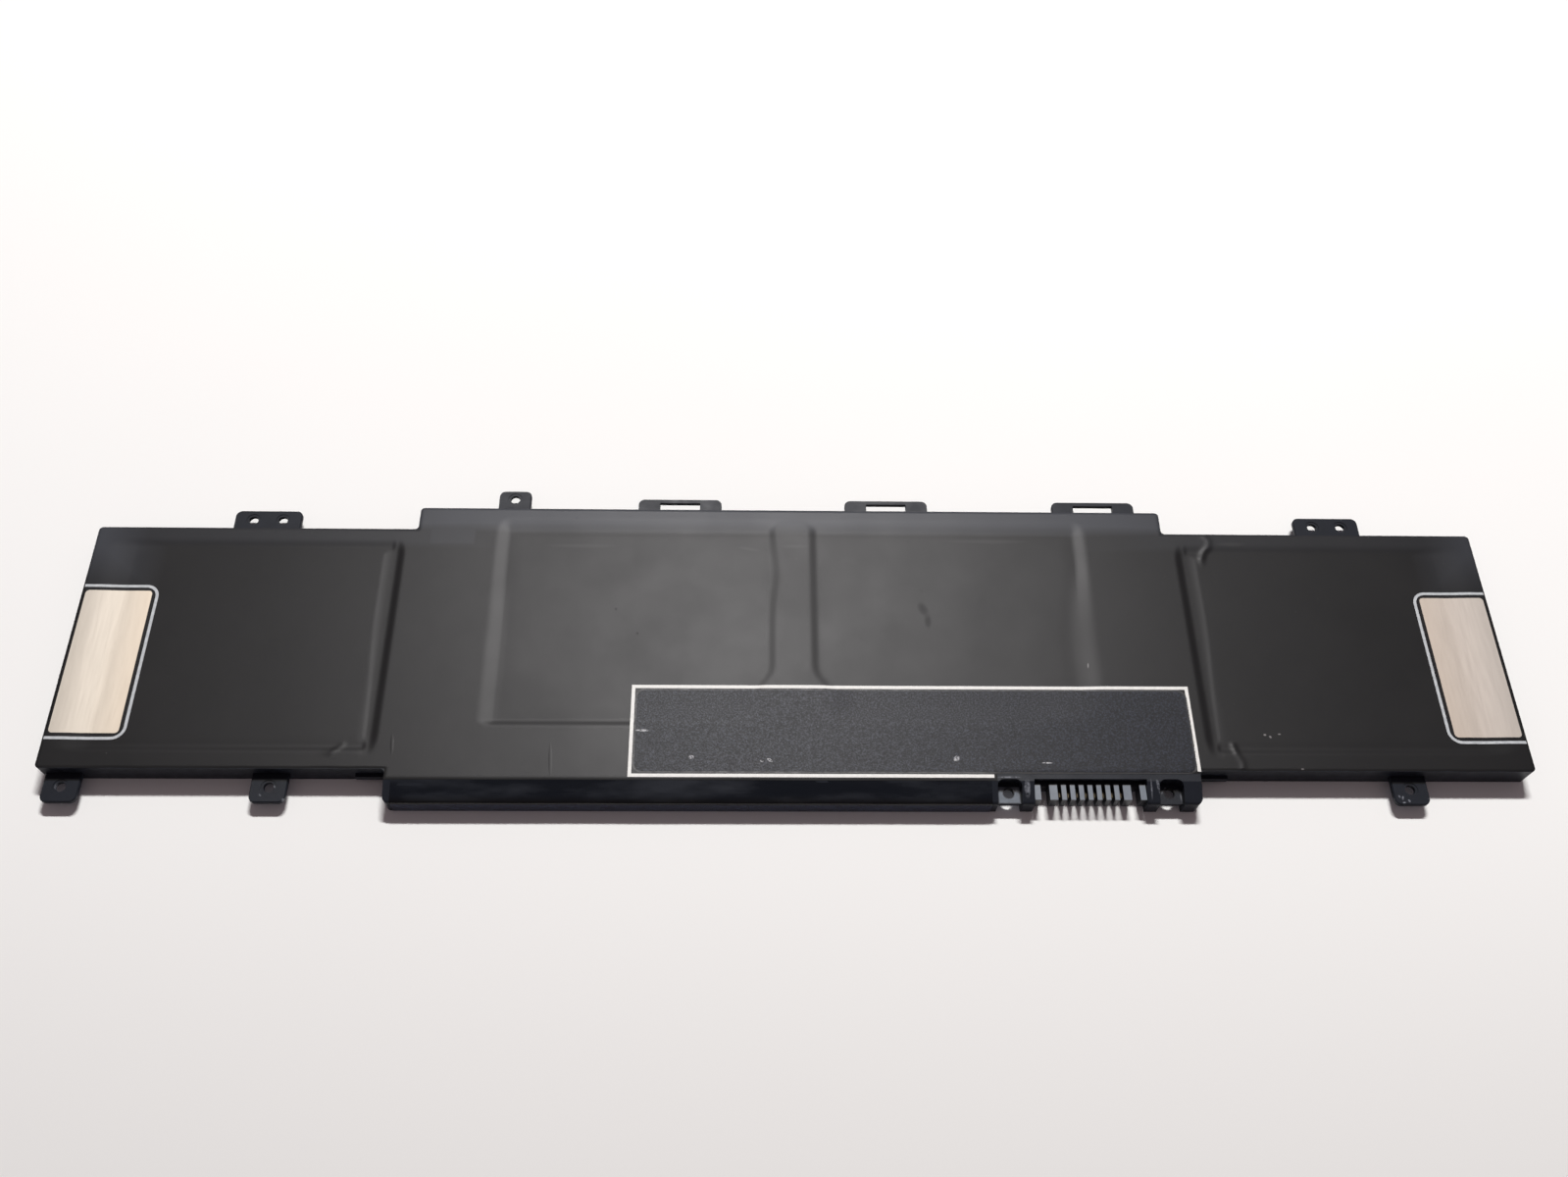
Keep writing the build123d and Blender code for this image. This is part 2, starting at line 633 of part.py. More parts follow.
def nose_tape():
    """Glossy film wrapped over the nose, from the top film's edge to the underside."""
    skin = offset(nose_section(), NOSE_TAPE) - nose_section()
    wrap = nose_length(skin, -MIDDLE_END + NOSE_END_ROUND, NOSE_BAR_END)
    return wrap & block(-MIDDLE_END, MIDDLE_END, NOSE_FRONT, TOP_NEAR, 0, DECK_TOP)


def contact_places():
    """X of each contact."""
    first = CONNECTOR_X - CONTACT_ROW / 2
    return [first + number * CONTACT_PITCH for number in range(CONTACT_COUNT)]


def connector_housing():
    """Comb of moulded bars with contact slots and guide slots, on a low block behind."""
    x0, x1 = CONNECTOR_X - CONNECTOR_HALF, CONNECTOR_X + CONNECTOR_HALF
    housing = block(x0, x1, CONNECTOR_FRONT, BAR_BACK, BAR_BASE, BAR_TOP)
    housing += block(x0, x1, BAR_BACK, CONNECTOR_BACK, BAR_BASE, CONNECTOR_BLOCK_TOP)
    for x in (x0 + OUTER_BAR, x1 - OUTER_BAR - GUIDE_SLOT):
        housing -= block(x, x + GUIDE_SLOT, CONNECTOR_FRONT, BAR_BACK, BELOW, ABOVE)
    way = CONTACT_TAIL_WIDTH / 2 + CONTACT_PLAY
    low, high = BOARD_TOP - CONTACT_PLAY, STRAP_TOP + CONTACT_PLAY
    for x in contact_places():
        half = CONTACT_SLOT / 2
        housing -= block(x - half, x + half, CONNECTOR_FRONT, BAR_BACK, BELOW, ABOVE)
        housing -= block(x - way, x + way, BAR_BACK, CONNECTOR_BACK, low, high)
    return housing


def connector_contact(x):
    """Forked contact: two leaves in its slot, a web and a tail soldered to the board."""
    outer = CONTACT_SLOT / 2 - CONTACT_PLAY
    inner = outer - CONTACT_LEAF
    back = BAR_BACK - CONTACT_PLAY
    front = back - CONTACT_LEAF_LENGTH
    contact = block(x - outer, x + outer, back - CONTACT_LEAF, back, CONTACT_LEAF_BASE, CONTACT_LEAF_TOP)
    contact += block(x - outer, x - inner, front, back, CONTACT_LEAF_BASE, CONTACT_LEAF_TOP)
    contact += block(x + inner, x + outer, front, back, CONTACT_LEAF_BASE, CONTACT_LEAF_TOP)
    half = CONTACT_TAIL_WIDTH / 2
    tail_end = CONNECTOR_BACK + CONTACT_TAIL
    return contact + block(x - half, x + half, back - CONTACT_LEAF, tail_end, BOARD_TOP, STRAP_TOP)


def protection_board():
    """Circuit board, cut back behind the connector and pierced for the frame's pins."""
    step = NOSE_BAR_END - BOARD_GAP
    board = block(-BOARD_END, step, BOARD_NEAR, BOARD_FAR, BOARD_BASE, BOARD_TOP)
    board += block(step, BOARD_END, CONNECTOR_BACK, BOARD_FAR, BOARD_BASE, BOARD_TOP)
    for x in post_places():
        board -= post(x, POST_Y, PIN_HOLE_RADIUS, BELOW, ABOVE)
    return board


def soldered(x, size):
    """Small moulded component that stands on the board."""
    length, depth, height = size
    body = Pos(x, CHIP_Y, BOARD_TOP + height / 2) * Box(length, depth, height)
    return chamfer(body.faces().sort_by(Axis.Z)[-1].edges(), CHIP_CHAMFER)


def build_nodes():
    """Every separate piece of the pack, by node name."""
    nodes = {
        "frame": frame(),
        "top_film": top_film(),
        "bottom_film": bottom_film(),
        "nose_tape": nose_tape(),
        "rating_label": rating_label(),
        "left_end_label": end_label(-1),
        "right_end_label": end_label(1),
    }
    for place in CELLS:
        facing = CELLS[place][2]
        far_lane, near_lane = 1, 0
        nodes[place + "_cell"] = pouch_cell(place)
        nodes[place + "_cell_tape"] = cell_tape(place)
        nodes[place + "_positive_tab"] = terminal_tab(place, facing, far_lane if facing > 0 else near_lane)
        nodes[place + "_negative_tab"] = terminal_tab(place, -facing, near_lane if facing > 0 else far_lane)
    nodes["left_wing_negative_strap"] = wing_strap("left_wing", -1, 0)
    nodes["left_wing_middle_strap"] = wing_strap("left_wing", 1, 1)
    nodes["right_wing_positive_strap"] = wing_strap("right_wing", -1, 0)
    nodes["right_wing_middle_strap"] = wing_strap("right_wing", 1, 1)
    nodes["middle_negative_strap"] = middle_strap("left_middle", -1, 0)
    nodes["middle_positive_strap"] = middle_strap("right_middle", -1, 0)
    nodes["middle_shared_strap"] = middle_strap("left_middle", 1, 1)
    nodes["protection_board"] = protection_board()
    nodes["connector_housing"] = connector_housing()
    for number, x in enumerate(contact_places(), start=1):
        nodes[f"connector_contact_{number}"] = connector_contact(x)
    nodes["gauge_chip"] = soldered(GAUGE_CHIP_X, GAUGE_CHIP_SIZE)
    nodes["charge_transistor"] = soldered(CHARGE_TRANSISTOR_X, TRANSISTOR_SIZE)
    nodes["discharge_transistor"] = soldered(DISCHARGE_TRANSISTOR_X, TRANSISTOR_SIZE)
    nodes["safety_fuse"] = soldered(FUSE_X, FUSE_SIZE)
    nodes["sense_resistor"] = soldered(RESISTOR_X, RESISTOR_SIZE)
    nodes["thermistor"] = soldered(-BOARD_END + THERMISTOR_INSET, THERMISTOR_SIZE)
    for number in range(CAPACITOR_COUNT):
        x = -BOARD_END + CAPACITOR_INSET + number * CAPACITOR_SPACING
        nodes[f"capacitor_{number + 1}"] = soldered(x, CAPACITOR_SIZE)
    return nodes


os.makedirs("parts", exist_ok=True)
for name, shape in build_nodes().items():
    export_step(shape, f"parts/{name}.step")
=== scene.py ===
"""The looks of a flat internal laptop battery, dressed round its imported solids.

Metres. X runs along the pack, Y from the connector's side to the far side, Z up.
"""

import math

import bpy
import numpy as np
from mathutils import Matrix, Vector, noise


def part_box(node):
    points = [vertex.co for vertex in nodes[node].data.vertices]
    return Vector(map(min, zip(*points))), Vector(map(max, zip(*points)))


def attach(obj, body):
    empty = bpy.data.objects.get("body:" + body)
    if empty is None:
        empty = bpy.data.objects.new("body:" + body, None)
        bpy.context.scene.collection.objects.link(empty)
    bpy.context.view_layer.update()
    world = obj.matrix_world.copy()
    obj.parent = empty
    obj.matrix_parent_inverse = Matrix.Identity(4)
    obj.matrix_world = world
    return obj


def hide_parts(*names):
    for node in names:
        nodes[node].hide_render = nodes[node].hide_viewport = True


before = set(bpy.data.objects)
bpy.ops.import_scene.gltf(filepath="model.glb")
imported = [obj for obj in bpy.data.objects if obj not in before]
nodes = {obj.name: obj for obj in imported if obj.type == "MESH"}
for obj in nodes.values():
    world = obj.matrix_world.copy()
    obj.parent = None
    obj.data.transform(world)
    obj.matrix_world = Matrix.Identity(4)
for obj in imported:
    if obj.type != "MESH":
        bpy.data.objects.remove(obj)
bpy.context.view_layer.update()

# Camera
CAMERA_PLACE = (-0.010877, -0.155342, 0.303502)
CAMERA_ELEVATION = math.radians(60.108)
CAMERA_YAW = math.radians(2.925)
CAMERA_ROLL = math.radians(2.875)
CAMERA_LENS = 32.645
CAMERA_SENSOR = 36.0
CAMERA_CLIP = (0.01, 20.0)

# Lamps, sky and floor
SHEEN_PLACE = (-0.01, 0.70, 1.33)
SHEEN_SIZE = (0.4, 0.1)
SHEEN_POWER = 24.5
SHEEN_COLOUR = (1.0, 0.98, 0.98)
KEY_PLACE = (0.12, 0.80, 1.22)
KEY_SIZE = (0.4, 0.08)
KEY_POWER = 22.0
KEY_COLOUR = (1.0, 0.995, 0.985)
UNDER_PLACE = (0.0, 0.35, -1.2)
UNDER_SIZE = (0.6, 0.6)
UNDER_POWER = 16.0
SKY_STRENGTH = 0.15
SKY_COLOUR = (1.0, 0.83, 0.88)
WHITE = (1.0, 1.0, 1.0)
FLOOR_HALF = 3.0
FLOOR_DROP = 0.00005
# Painted shade: the floor greys over this span towards the camera to the near colour
FLOOR_SHADE_FADE = (-0.03, -0.16)
FLOOR_WHITE = (0.30, 0.48)
FLOOR_CLOUD = 0.25
FLOOR_COLOURS = ((0.93, 0.925, 0.91), (0.97, 0.968, 0.953))
FLOOR_NEAR_PAINTED_SHADE = (0.80, 0.79, 0.775)
FLOOR_ROUGHNESS = 0.9
FLOOR_SPECULAR = 0.1

# Top film: each set of runs is left, right, near and far
FILM = 0.00015
WING_FAR = 0.0316
FILM_STEP_PAST_NOSE = 0.0012
FILM_STEP_BACK = 0.0018
DIP = 0.00024
SLOPE_BEND = 0.35
FOOT_VALLEY = 0.00003
FOOT_WIDTH = 0.0010
TAPE_INSET = 0.006
MIDDLE_RUNS = (0.0037, 0.0037, 0.0020, 0.0044)
SLOPE_EASE = (0.0008, 0.0030)
SLOPE_EASE_PLACE = 0.024
SLOPE_EASE_RUN = 0.022
WING_OVERHANG = 0.0030
WING_RUNS = (0.0015, 0.0085, 0.0019, 0.0030)
STRIP_HALF = 0.0036
STRIP_RUN = 0.0028
STRIP_CORNER = 0.0024
STRIP_END_INSET = 0.0016
STRIP_FLARE = 0.0030
STRIP_FLARE_START = -0.0045
STRIP_FLARE_RUN = 0.0070
PINCH = 0.0010
PINCH_PLACE = (-0.0042, 0.0200)
PINCH_HALF = (0.0028, 0.0080)
PINCH_DEPTH = 0.00006
GROOVE_DEPTH = 0.00033
GROOVE_SETBACK = 0.0024
GROOVE_FLOOR = 0.0008
GROOVE_INNER_RUN = 0.0021
GROOVE_OUTER_FAR = 0.0065
GROOVE_OUTER_NEAR = 0.0025
GROOVE_TURN_PLACE = 0.010
GROOVE_TURN_RUN = 0.034
GROOVE_END_RUNS = (0.0060, 0.0050)
GROOVE_END_REACH = 0.0012
ROLL_DROP = 0.00010
ROLL_RUN = 0.0005
EDGE_WAVE = 0.00022
EDGE_WAVE_LENGTH = 0.006
EDGE_WAVE_RUN = 0.0015
EDGE_WAVE_SEED = 2.7
BULGE = 0.00002
BULGE_LENGTH = 0.018
BULGE_SEED = 0.3
FILM_CORNER = 0.001

# Steps and margins of the meshes
FILM_FINE = 0.0004
FILM_COARSE = 0.0016
FILM_FIELD_STEP = 0.0012
FILM_WING_STEP = 0.0008
FILM_CORNER_STEP = 0.0002
CREASE_MARGIN = 0.0015
CORNER_SLACK = 1.001
STEP_SLACK = 1e-6
SHARP_EDGE = math.radians(40)

# Creases of the film at the grooves' ends: a path, the width and the height
CREASE_PROUD = 0.00008
RIGHT_FAR_CREASE = (
    (0.1024, 0.0310), (0.1033, 0.0297), (0.1030, 0.0280), (0.1015, 0.0263), (0.1008, 0.0246),
)
RIGHT_NEAR_CREASE = ((0.1004, -0.0253), (0.1010, -0.0277), (0.1019, -0.0296), (0.1017, -0.0317))
LEFT_NEAR_CREASE = ((-0.1042, -0.0279), (-0.1019, -0.0258))
CREASES = (
    (RIGHT_FAR_CREASE, 0.0007, 0.00020),
    (RIGHT_NEAR_CREASE, 0.0006, 0.00018),
    (LEFT_NEAR_CREASE, 0.0006, 0.00008),
)

# Printed lines and labels
LABEL = 0.0001
INK = 0.00003
INK_SUNK = 0.00002
OUTLINE_WIDTH = 0.0008
OUTLINE_GAP = 0.0005
OUTLINE_NEAR_INSET = 0.00108
BORDER_WIDTH = 0.0004
U_LINE_WIDTH = 0.0007
U_LINE_GAP = 0.0009
U_LINE_ROUND = 0.0028
U_LINE_END_INSET = 2 * ROLL_RUN / 3
LINE_STEP = 0.0006
ARC_POINTS = 9
RATING_ROUND = 0.002
RATING_STEP = 0.0012
RATING_STIFFNESS = 3.0
END_LABEL_ROUND = 0.0009
LABEL_CORNER_STEPS = 5

# Nose tape and connector
NOSE_SHOULDER = 0.0047
NOSE_FRONT_TOP = 0.0041
NOSE_FADE = 0.0004
NOSE_WAVE = 0.00010
NOSE_WAVE_LENGTH = 0.014
NOSE_WAVES = 4
NOSE_ROUND = 0.0009
NOSE_STEP = 0.0007
NOSE_SLOPE_POINTS = 12
NOSE_BEND_POINTS = 6
NOSE_FRONT_POINTS = 7
NOSE_TAPE = 0.0001
NOSE_END_ROUND = 0.0016
# Depth of the band below the bars' tops where painted sheen turns to painted shade
BAR_TOP_BAND = 0.0002

# Oval marks: place, half sizes, then the turn and the softness of the edge where they are given
RATING_SCUFFS = (
    (-0.0347, -0.0221, 0.0018, 0.00035),
    (-0.0234, -0.0286, 0.0007, 0.0005),
    (-0.0075, -0.0295, 0.0005, 0.0003),
    (-0.0057, -0.0293, 0.0008, 0.0004, -0.6),
    (0.0366, -0.0288, 0.0009, 0.0007, 0.7),
    (0.0571, -0.0298, 0.0014, 0.0002),
)
FILM_SMUDGES = (
    (0.0312, 0.0100, 0.0013, 0.0022, 0.4, 1.0),
    (0.0322, 0.0068, 0.0010, 0.0022, 0.0, 1.0),
    (-0.0533, 0.0351, 0.0003, 0.0004),
    (-0.0423, 0.0096, 0.0003, 0.0005),
    (-0.0369, 0.0030, 0.0003, 0.0004),
)
FILM_STREAKS = (
    (-0.0515, 0.0272, 0.0095, 0.0007, 0.0, 0.8),
    (-0.0107, 0.0266, 0.0032, 0.0006, -0.2, 0.8),
    (0.0005, 0.0273, 0.0038, 0.0006, 0.0, 0.8),
    (0.0482, 0.0292, 0.0110, 0.0007, 0.0, 0.8),
    (0.1087, 0.0287, 0.0040, 0.0007, 0.0, 0.8),
)
FILM_SEAMS = (
    (-0.0550, -0.0294, 0.0004, 0.0043, 0.07, 1.0),
    (-0.0908, -0.0257, 0.0004, 0.0027, 0.09, 1.0),
)
FILM_SCRATCHES = (
    (0.0693, -0.0050, 0.0002, 0.0008, -0.1),
    (0.1153, -0.0311, 0.0004, 0.0002),
    (0.1082, -0.0226, 0.0004, 0.0003),
    (0.1094, -0.0231, 0.0003, 0.0004, 0.5),
    (0.1116, -0.0224, 0.0004, 0.0002),
)
# Painted shade: dark rings on the ears' screw-hole seats
EAR_RING_PAINTED_SHADE = (
    (0.0483, -0.0359, 0.0015, 0.0015, 0.0, 0.2),
    (0.0849, -0.0359, 0.0015, 0.0015, 0.0, 0.2),
)
# Pale marks on the frame: scuffs on the tabs, painted glints and highlights on the partitions, the right
# ear and the ledge edges
FRAME_SCUFFS_AND_GLINTS = (
    (0.0522, -0.0357, 0.0008, 0.0023),
    (0.0803, -0.0358, 0.0002, 0.0025),
    (0.0819, -0.0352, 0.0004, 0.0019, 0.2),
    (0.0834, -0.0355, 0.0002, 0.0008, -0.5),
    (0.0841, -0.0347, 0.0004, 0.0002, 0.7),
    (0.0874, -0.0366, 0.0002, 0.0015),
    (0.0482, -0.0332, 0.0030, 0.0002),
    (-0.1192, -0.0368, 0.0004, 0.0002, -0.8),
    (-0.1164, -0.0347, 0.0004, 0.0002, -1.0),
    (-0.1138, -0.0379, 0.0005, 0.0004),
    (-0.1641, -0.0348, 0.0009, 0.0009, 0.3),
    (0.1374, -0.0365, 0.0003, 0.0005, 0.4),
    (0.1382, -0.0369, 0.0003, 0.0006, -0.3),
    (0.1383, -0.0380, 0.0005, 0.0002),
    (0.1395, -0.0376, 0.0003, 0.0004, 0.6),
)

# Rectangular marks: place, half sizes, then the softness of the edge and the strength where they are given
# Painted sheen on the film: lighter bluish bands along the far edge and at the wings' outer ends
FILM_PAINTED_SHEEN = (
    (0.0, 0.0375, 0.1500, 0.0070, 0.45, 1.0),
    (-0.0832, 0.0320, 0.0060, 0.0050, 0.15, 0.45),
    (-0.1300, 0.0312, 0.0620, 0.0052, 0.4, 0.3),
    (0.1300, 0.0312, 0.0620, 0.0052, 0.4, 0.2),
    (-0.1700, 0.0285, 0.0190, 0.0155, 0.85, 0.95),
    (0.1700, 0.0285, 0.0170, 0.0155, 0.85, 0.65),
)
# Painted sheen: pale patch on the left ear's top
LEFT_EAR_PAINTED_SHEEN = (0.0484, -0.0364, 0.0025, 0.0020)

# Noise: where it turns from one look to the other, and how rich it is
SOFT_SPAN = (0.3, 0.7)
FIRM_SPAN = (0.35, 0.65)
LOW_DETAIL = 2.0
DETAIL = 3.0
HIGH_DETAIL = 4.0
NOISE_ROUGHNESS = 0.55

# Specular level of plain surfaces
PLAIN_SPECULAR = 0.5

# Looks of the film
FILM_COLOURS = ((0.0098, 0.0096, 0.0101), (0.0120, 0.0116, 0.0121))
FILM_ROUGHNESS = (0.415, 0.445)
FILM_SPECULAR = 0.2
FILM_MOTTLE = 0.022
FILM_RUBBED = 0.014
FILM_RIPPLE = 0.005
FILM_RIPPLE_DEPTH = 0.00001
FILM_SEAM_DEPTH = 0.00002
FILM_GRAIN = 0.00035
FILM_GRAIN_DEPTH = 0.000004
# Colour of the painted sheen on the film
FILM_PAINTED_SHEEN_COLOUR = (0.045, 0.048, 0.057)
STREAK_COLOUR = (0.036, 0.036, 0.036)
STREAK_STRENGTH = 0.5
SMUDGE_ROUGHNESS = 0.07
DUST_COLOUR = (0.20, 0.19, 0.19)
DUST_SIZE = 0.0006
DUST_SPAN = (0.77, 0.83)
DUST_STRENGTH = 0.3

# Looks of the nose tape
# The lighter of the two tape colours is painted highlight, laid on in stretched patches
TAPE_COLOURS_AND_PAINTED_HIGHLIGHT = ((0.0040, 0.0058, 0.0095), (0.019, 0.022, 0.029))
# Painted shade: near-black colour along the nose's shoulder
TAPE_SHOULDER_PAINTED_SHADE = (0.002, 0.002, 0.0025)
# Painted reflection: lighter bluish colour on the nose's front wall
TAPE_FRONT_PAINTED_REFLECTION = (0.022, 0.029, 0.050)
TAPE_ROUGHNESS = (0.20, 0.34)
TAPE_SPECULAR = 0.3
TAPE_PAINTED_HIGHLIGHT_SIZE = 0.0025
TAPE_PAINTED_HIGHLIGHT_STRETCH = (0.15, 0.6, 0.6)
TAPE_PAINTED_HIGHLIGHT_SPAN = (0.45, 0.75)
TAPE_RIPPLE = 0.0025
TAPE_RIPPLE_STRETCH = (0.35, 1.0, 1.0)
TAPE_RIPPLE_DEPTH = 0.00004

# Looks of the labels and the printed lines; each ink is given worn, then fresh
GRAINED_COLOURS = ((0.0100, 0.0108, 0.0140), (0.031, 0.036, 0.054))
GRAINED_ROUGHNESS = (0.50, 0.38)
GRAINED_SPECULAR = 0.17
GRAINED_SIZE = 0.00038
GRAINED_NOISE_ROUGHNESS = 0.65
GRAINED_SPAN = (0.46, 0.68)
GRAINED_DEPTH = 0.00004
CHALK_COLOUR = (0.48, 0.48, 0.50)
CHALK_SIZE = 0.0004
CHALK_SPAN = (0.40, 0.58)
# Satin label colours at their left, middle and right: the change across each is painted sheen
LEFT_SATIN_PAINTED_SHEEN = ((0.66, 0.60, 0.515), (0.79, 0.715, 0.605), (0.845, 0.73, 0.585))
RIGHT_SATIN_PAINTED_SHEEN = ((0.635, 0.545, 0.46), (0.615, 0.545, 0.48), (0.59, 0.535, 0.48))
SATIN_LINE_COLOUR = (0.52, 0.46, 0.40)
SATIN_LINE_STRENGTH = 0.06
SATIN_LINE = 0.0005
SATIN_LINE_STRETCH = (1.0, 0.06, 1.0)
SATIN_LINE_DEPTH = 0.000003
SATIN_ROUGHNESS = (0.34, 0.44)
SATIN_METALLIC = 0.25
WHITE_INK = ((0.74, 0.73, 0.70), (0.86, 0.85, 0.82))
GREY_INK = ((0.44, 0.46, 0.48), (0.56, 0.58, 0.60))
BLACK_INK = ((0.012, 0.012, 0.014), (0.006, 0.006, 0.008))
INK_COVER = 0.0012
INK_ROUGHNESS = (0.45, 0.6)
INK_DEPTH = 0.000008

# Looks of the frame and the connector, and the flow marks of every moulding
FLOW = 0.004
FLOW_DETAIL = 5.0
FLOW_NOISE_ROUGHNESS = 0.6
FRAME_COLOURS = ((0.011, 0.0130, 0.0185), (0.016, 0.0185, 0.0255))
FRAME_ROUGHNESS = (0.48, 0.38)
FRAME_SPECULAR = 0.15
FRAME_GRAIN = 0.0004
FRAME_GRAIN_DEPTH = 0.00002
FRAME_WEAR_AND_SHEEN_NOISE = 0.0008
FRAME_SCUFF_AND_GLINT_COLOUR = (0.20, 0.21, 0.24)
FRAME_SCUFF_AND_GLINT_SPAN = (0.35, 0.6)
# Painted sheen on the left ear
EAR_PAINTED_SHEEN_COLOUR = (0.15, 0.17, 0.20)
EAR_SHEEN_SPAN = (0.2, 0.6)
EAR_SHEEN_STRENGTH = (0.7, 1.0)
# Colour of the painted shade round the ears' screw holes
RING_PAINTED_SHADE_COLOUR = (0.006, 0.006, 0.007)
# Connector bars: painted pale sheen on their tops, painted shade on their sides
BAR_TOP_PAINTED_SHEEN = ((0.11, 0.13, 0.16), (0.14, 0.165, 0.20))
BAR_SIDE_PAINTED_SHADE = (0.010, 0.012, 0.016)
BAR_ROUGHNESS = (0.51, 0.39)
BAR_GRAIN = 0.0003
BAR_GRAIN_DEPTH = 0.00001

# Other moulded pieces: dark, light, the roughness of each, then the grain's size and depth
UNDERSIDE_FILM = ((0.010, 0.0100, 0.0105), (0.017, 0.0165, 0.0165), (0.54, 0.42), 0.0006, 0.00002)
CLEAR_TAPE = ((0.52, 0.50, 0.42), (0.62, 0.60, 0.52), (0.36, 0.24), 0.0008, 0.00001)
CHIP_PLASTIC = ((0.014, 0.014, 0.015), (0.022, 0.022, 0.023), (0.56, 0.44), 0.0002, 0.00001)
CHIP_CERAMIC = ((0.30, 0.22, 0.15), (0.40, 0.30, 0.21), (0.44, 0.32), 0.0002, 0.000005)

# Metals: dark, light, range of roughness and the stretch of the rolling lines
# The contact brass is darkened far below real brass as painted shade for the contacts deep in the slots
CONTACT_BRASS_PAINTED_SHADE = ((0.07, 0.055, 0.036), (0.12, 0.095, 0.06), (0.42, 0.58), (1.0, 0.1, 1.0))
NICKEL = ((0.58, 0.57, 0.54), (0.72, 0.71, 0.68), (0.24, 0.40), (0.1, 1.0, 1.0))
ALUMINIUM_TAB = ((0.74, 0.74, 0.75), (0.84, 0.84, 0.85), (0.22, 0.38), (1.0, 0.1, 1.0))
POUCH_FOIL = ((0.66, 0.67, 0.68), (0.78, 0.79, 0.80), (0.30, 0.46), (0.3, 0.3, 1.0))
METAL_LINE = 0.0004
METAL_LINE_DEPTH = 0.000008
METAL_SPOT = 0.003

# Circuit board
BOARD_COLOURS = ((0.006, 0.035, 0.018), (0.010, 0.055, 0.028))
BOARD_ROUGHNESS = (0.28, 0.42)
BOARD_MOTTLE = 0.002
TRACK_COLOUR = (0.016, 0.085, 0.042)
TRACK_SCALE = 260.0
TRACK_WIDTH = 0.06
TRACK_DEPTH = 0.00003

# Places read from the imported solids
film_low, film_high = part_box("top_film")
nose_low, nose_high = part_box("nose_tape")
label_low, label_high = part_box("rating_label")


def cell_place(place):
    """x0, x1, y0, y1 of a cell, from the tape under it."""
    low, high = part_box(place + "_cell_tape")
    return low.x - TAPE_INSET, high.x + TAPE_INSET, low.y - TAPE_INSET, high.y + TAPE_INSET


WING_CELL = cell_place("right_wing")
MIDDLE_CELL = cell_place("right_middle")
WING_END = film_high.x
MIDDLE_END = NOSE_END_ROUND - nose_low.x
MIDDLE_FAR = film_high.y
TOP_NEAR = film_low.y
FILM_STEP_X = nose_high.x + FILM_STEP_PAST_NOSE
FILM_STEP_NEAR = TOP_NEAR + FILM_STEP_BACK
BORDER_TOP = film_high.z
DECK_TOP = BORDER_TOP - FILM
MIDDLE_DIP = (-MIDDLE_CELL[1], MIDDLE_CELL[1], MIDDLE_CELL[2], MIDDLE_CELL[3])
WING_DIP = (WING_CELL[0] - WING_OVERHANG, WING_CELL[1], WING_CELL[2], WING_CELL[3])
GROOVE_X = WING_CELL[0] - GROOVE_SETBACK


# Shapes of the film

def smooth(t):
    """0 below 0, 1 above 1 and an S-curve between them."""
    t = np.clip(t, 0.0, 1.0)
    return t * t * (3.0 - 2.0 * t)


def sloped(t):
    """0 below 0, 1 above 1 and a straight slope with rounded ends between them."""
    t = np.clip(t, 0.0, 1.0)
    foot = t * t / (2 * SLOPE_BEND)
    head = 1.0 - SLOPE_BEND - (1.0 - t) ** 2 / (2 * SLOPE_BEND)
    middle = t - SLOPE_BEND / 2
    rise = np.where(t < SLOPE_BEND, foot, np.where(t > 1.0 - SLOPE_BEND, head, middle))
    return rise / (1.0 - SLOPE_BEND)


def outside(x, y, place, corner):
    """Distance outside a rectangle with rounded corners, less than 0 inside it."""
    x0, x1, y0, y1 = place
    dx = np.abs(x - (x0 + x1) / 2) - (x1 - x0) / 2 + corner
    dy = np.abs(y - (y0 + y1) / 2) - (y1 - y0) / 2 + corner
    beyond = np.hypot(np.maximum(dx, 0.0), np.maximum(dy, 0.0))
    return beyond + np.minimum(np.maximum(dx, dy), 0.0) - corner


def rough(x, y, length, seed):
    """Smooth noise from -1 to 1 with waves of about that length."""
    flat = [noise.noise(Vector((a / length, b / length, seed))) for a, b in zip(x.ravel(), y.ravel())]
    return np.array(flat).reshape(x.shape)


def film_plan():
    """Corners of the film's outline, anticlockwise."""
    return [
        (-WING_END, -WING_FAR),
        (-MIDDLE_END, -WING_FAR),
        (-MIDDLE_END, TOP_NEAR),
        (FILM_STEP_X, TOP_NEAR),
        (FILM_STEP_X, FILM_STEP_NEAR),
        (MIDDLE_END, FILM_STEP_NEAR),
        (MIDDLE_END, -WING_FAR),
        (WING_END, -WING_FAR),
        (WING_END, WING_FAR),
        (MIDDLE_END, WING_FAR),
        (MIDDLE_END, MIDDLE_FAR),
        (-MIDDLE_END, MIDDLE_FAR),
        (-MIDDLE_END, WING_FAR),
        (-WING_END, WING_FAR),
    ]


def in_film_plan(x, y):
    """Which points lie on the film."""
    near = np.where(x < FILM_STEP_X, TOP_NEAR, FILM_STEP_NEAR)
    wing = (np.abs(x) < WING_END) & (np.abs(y) < WING_FAR)
    return wing | ((np.abs(x) < MIDDLE_END) & (y > near) & (y < MIDDLE_FAR))


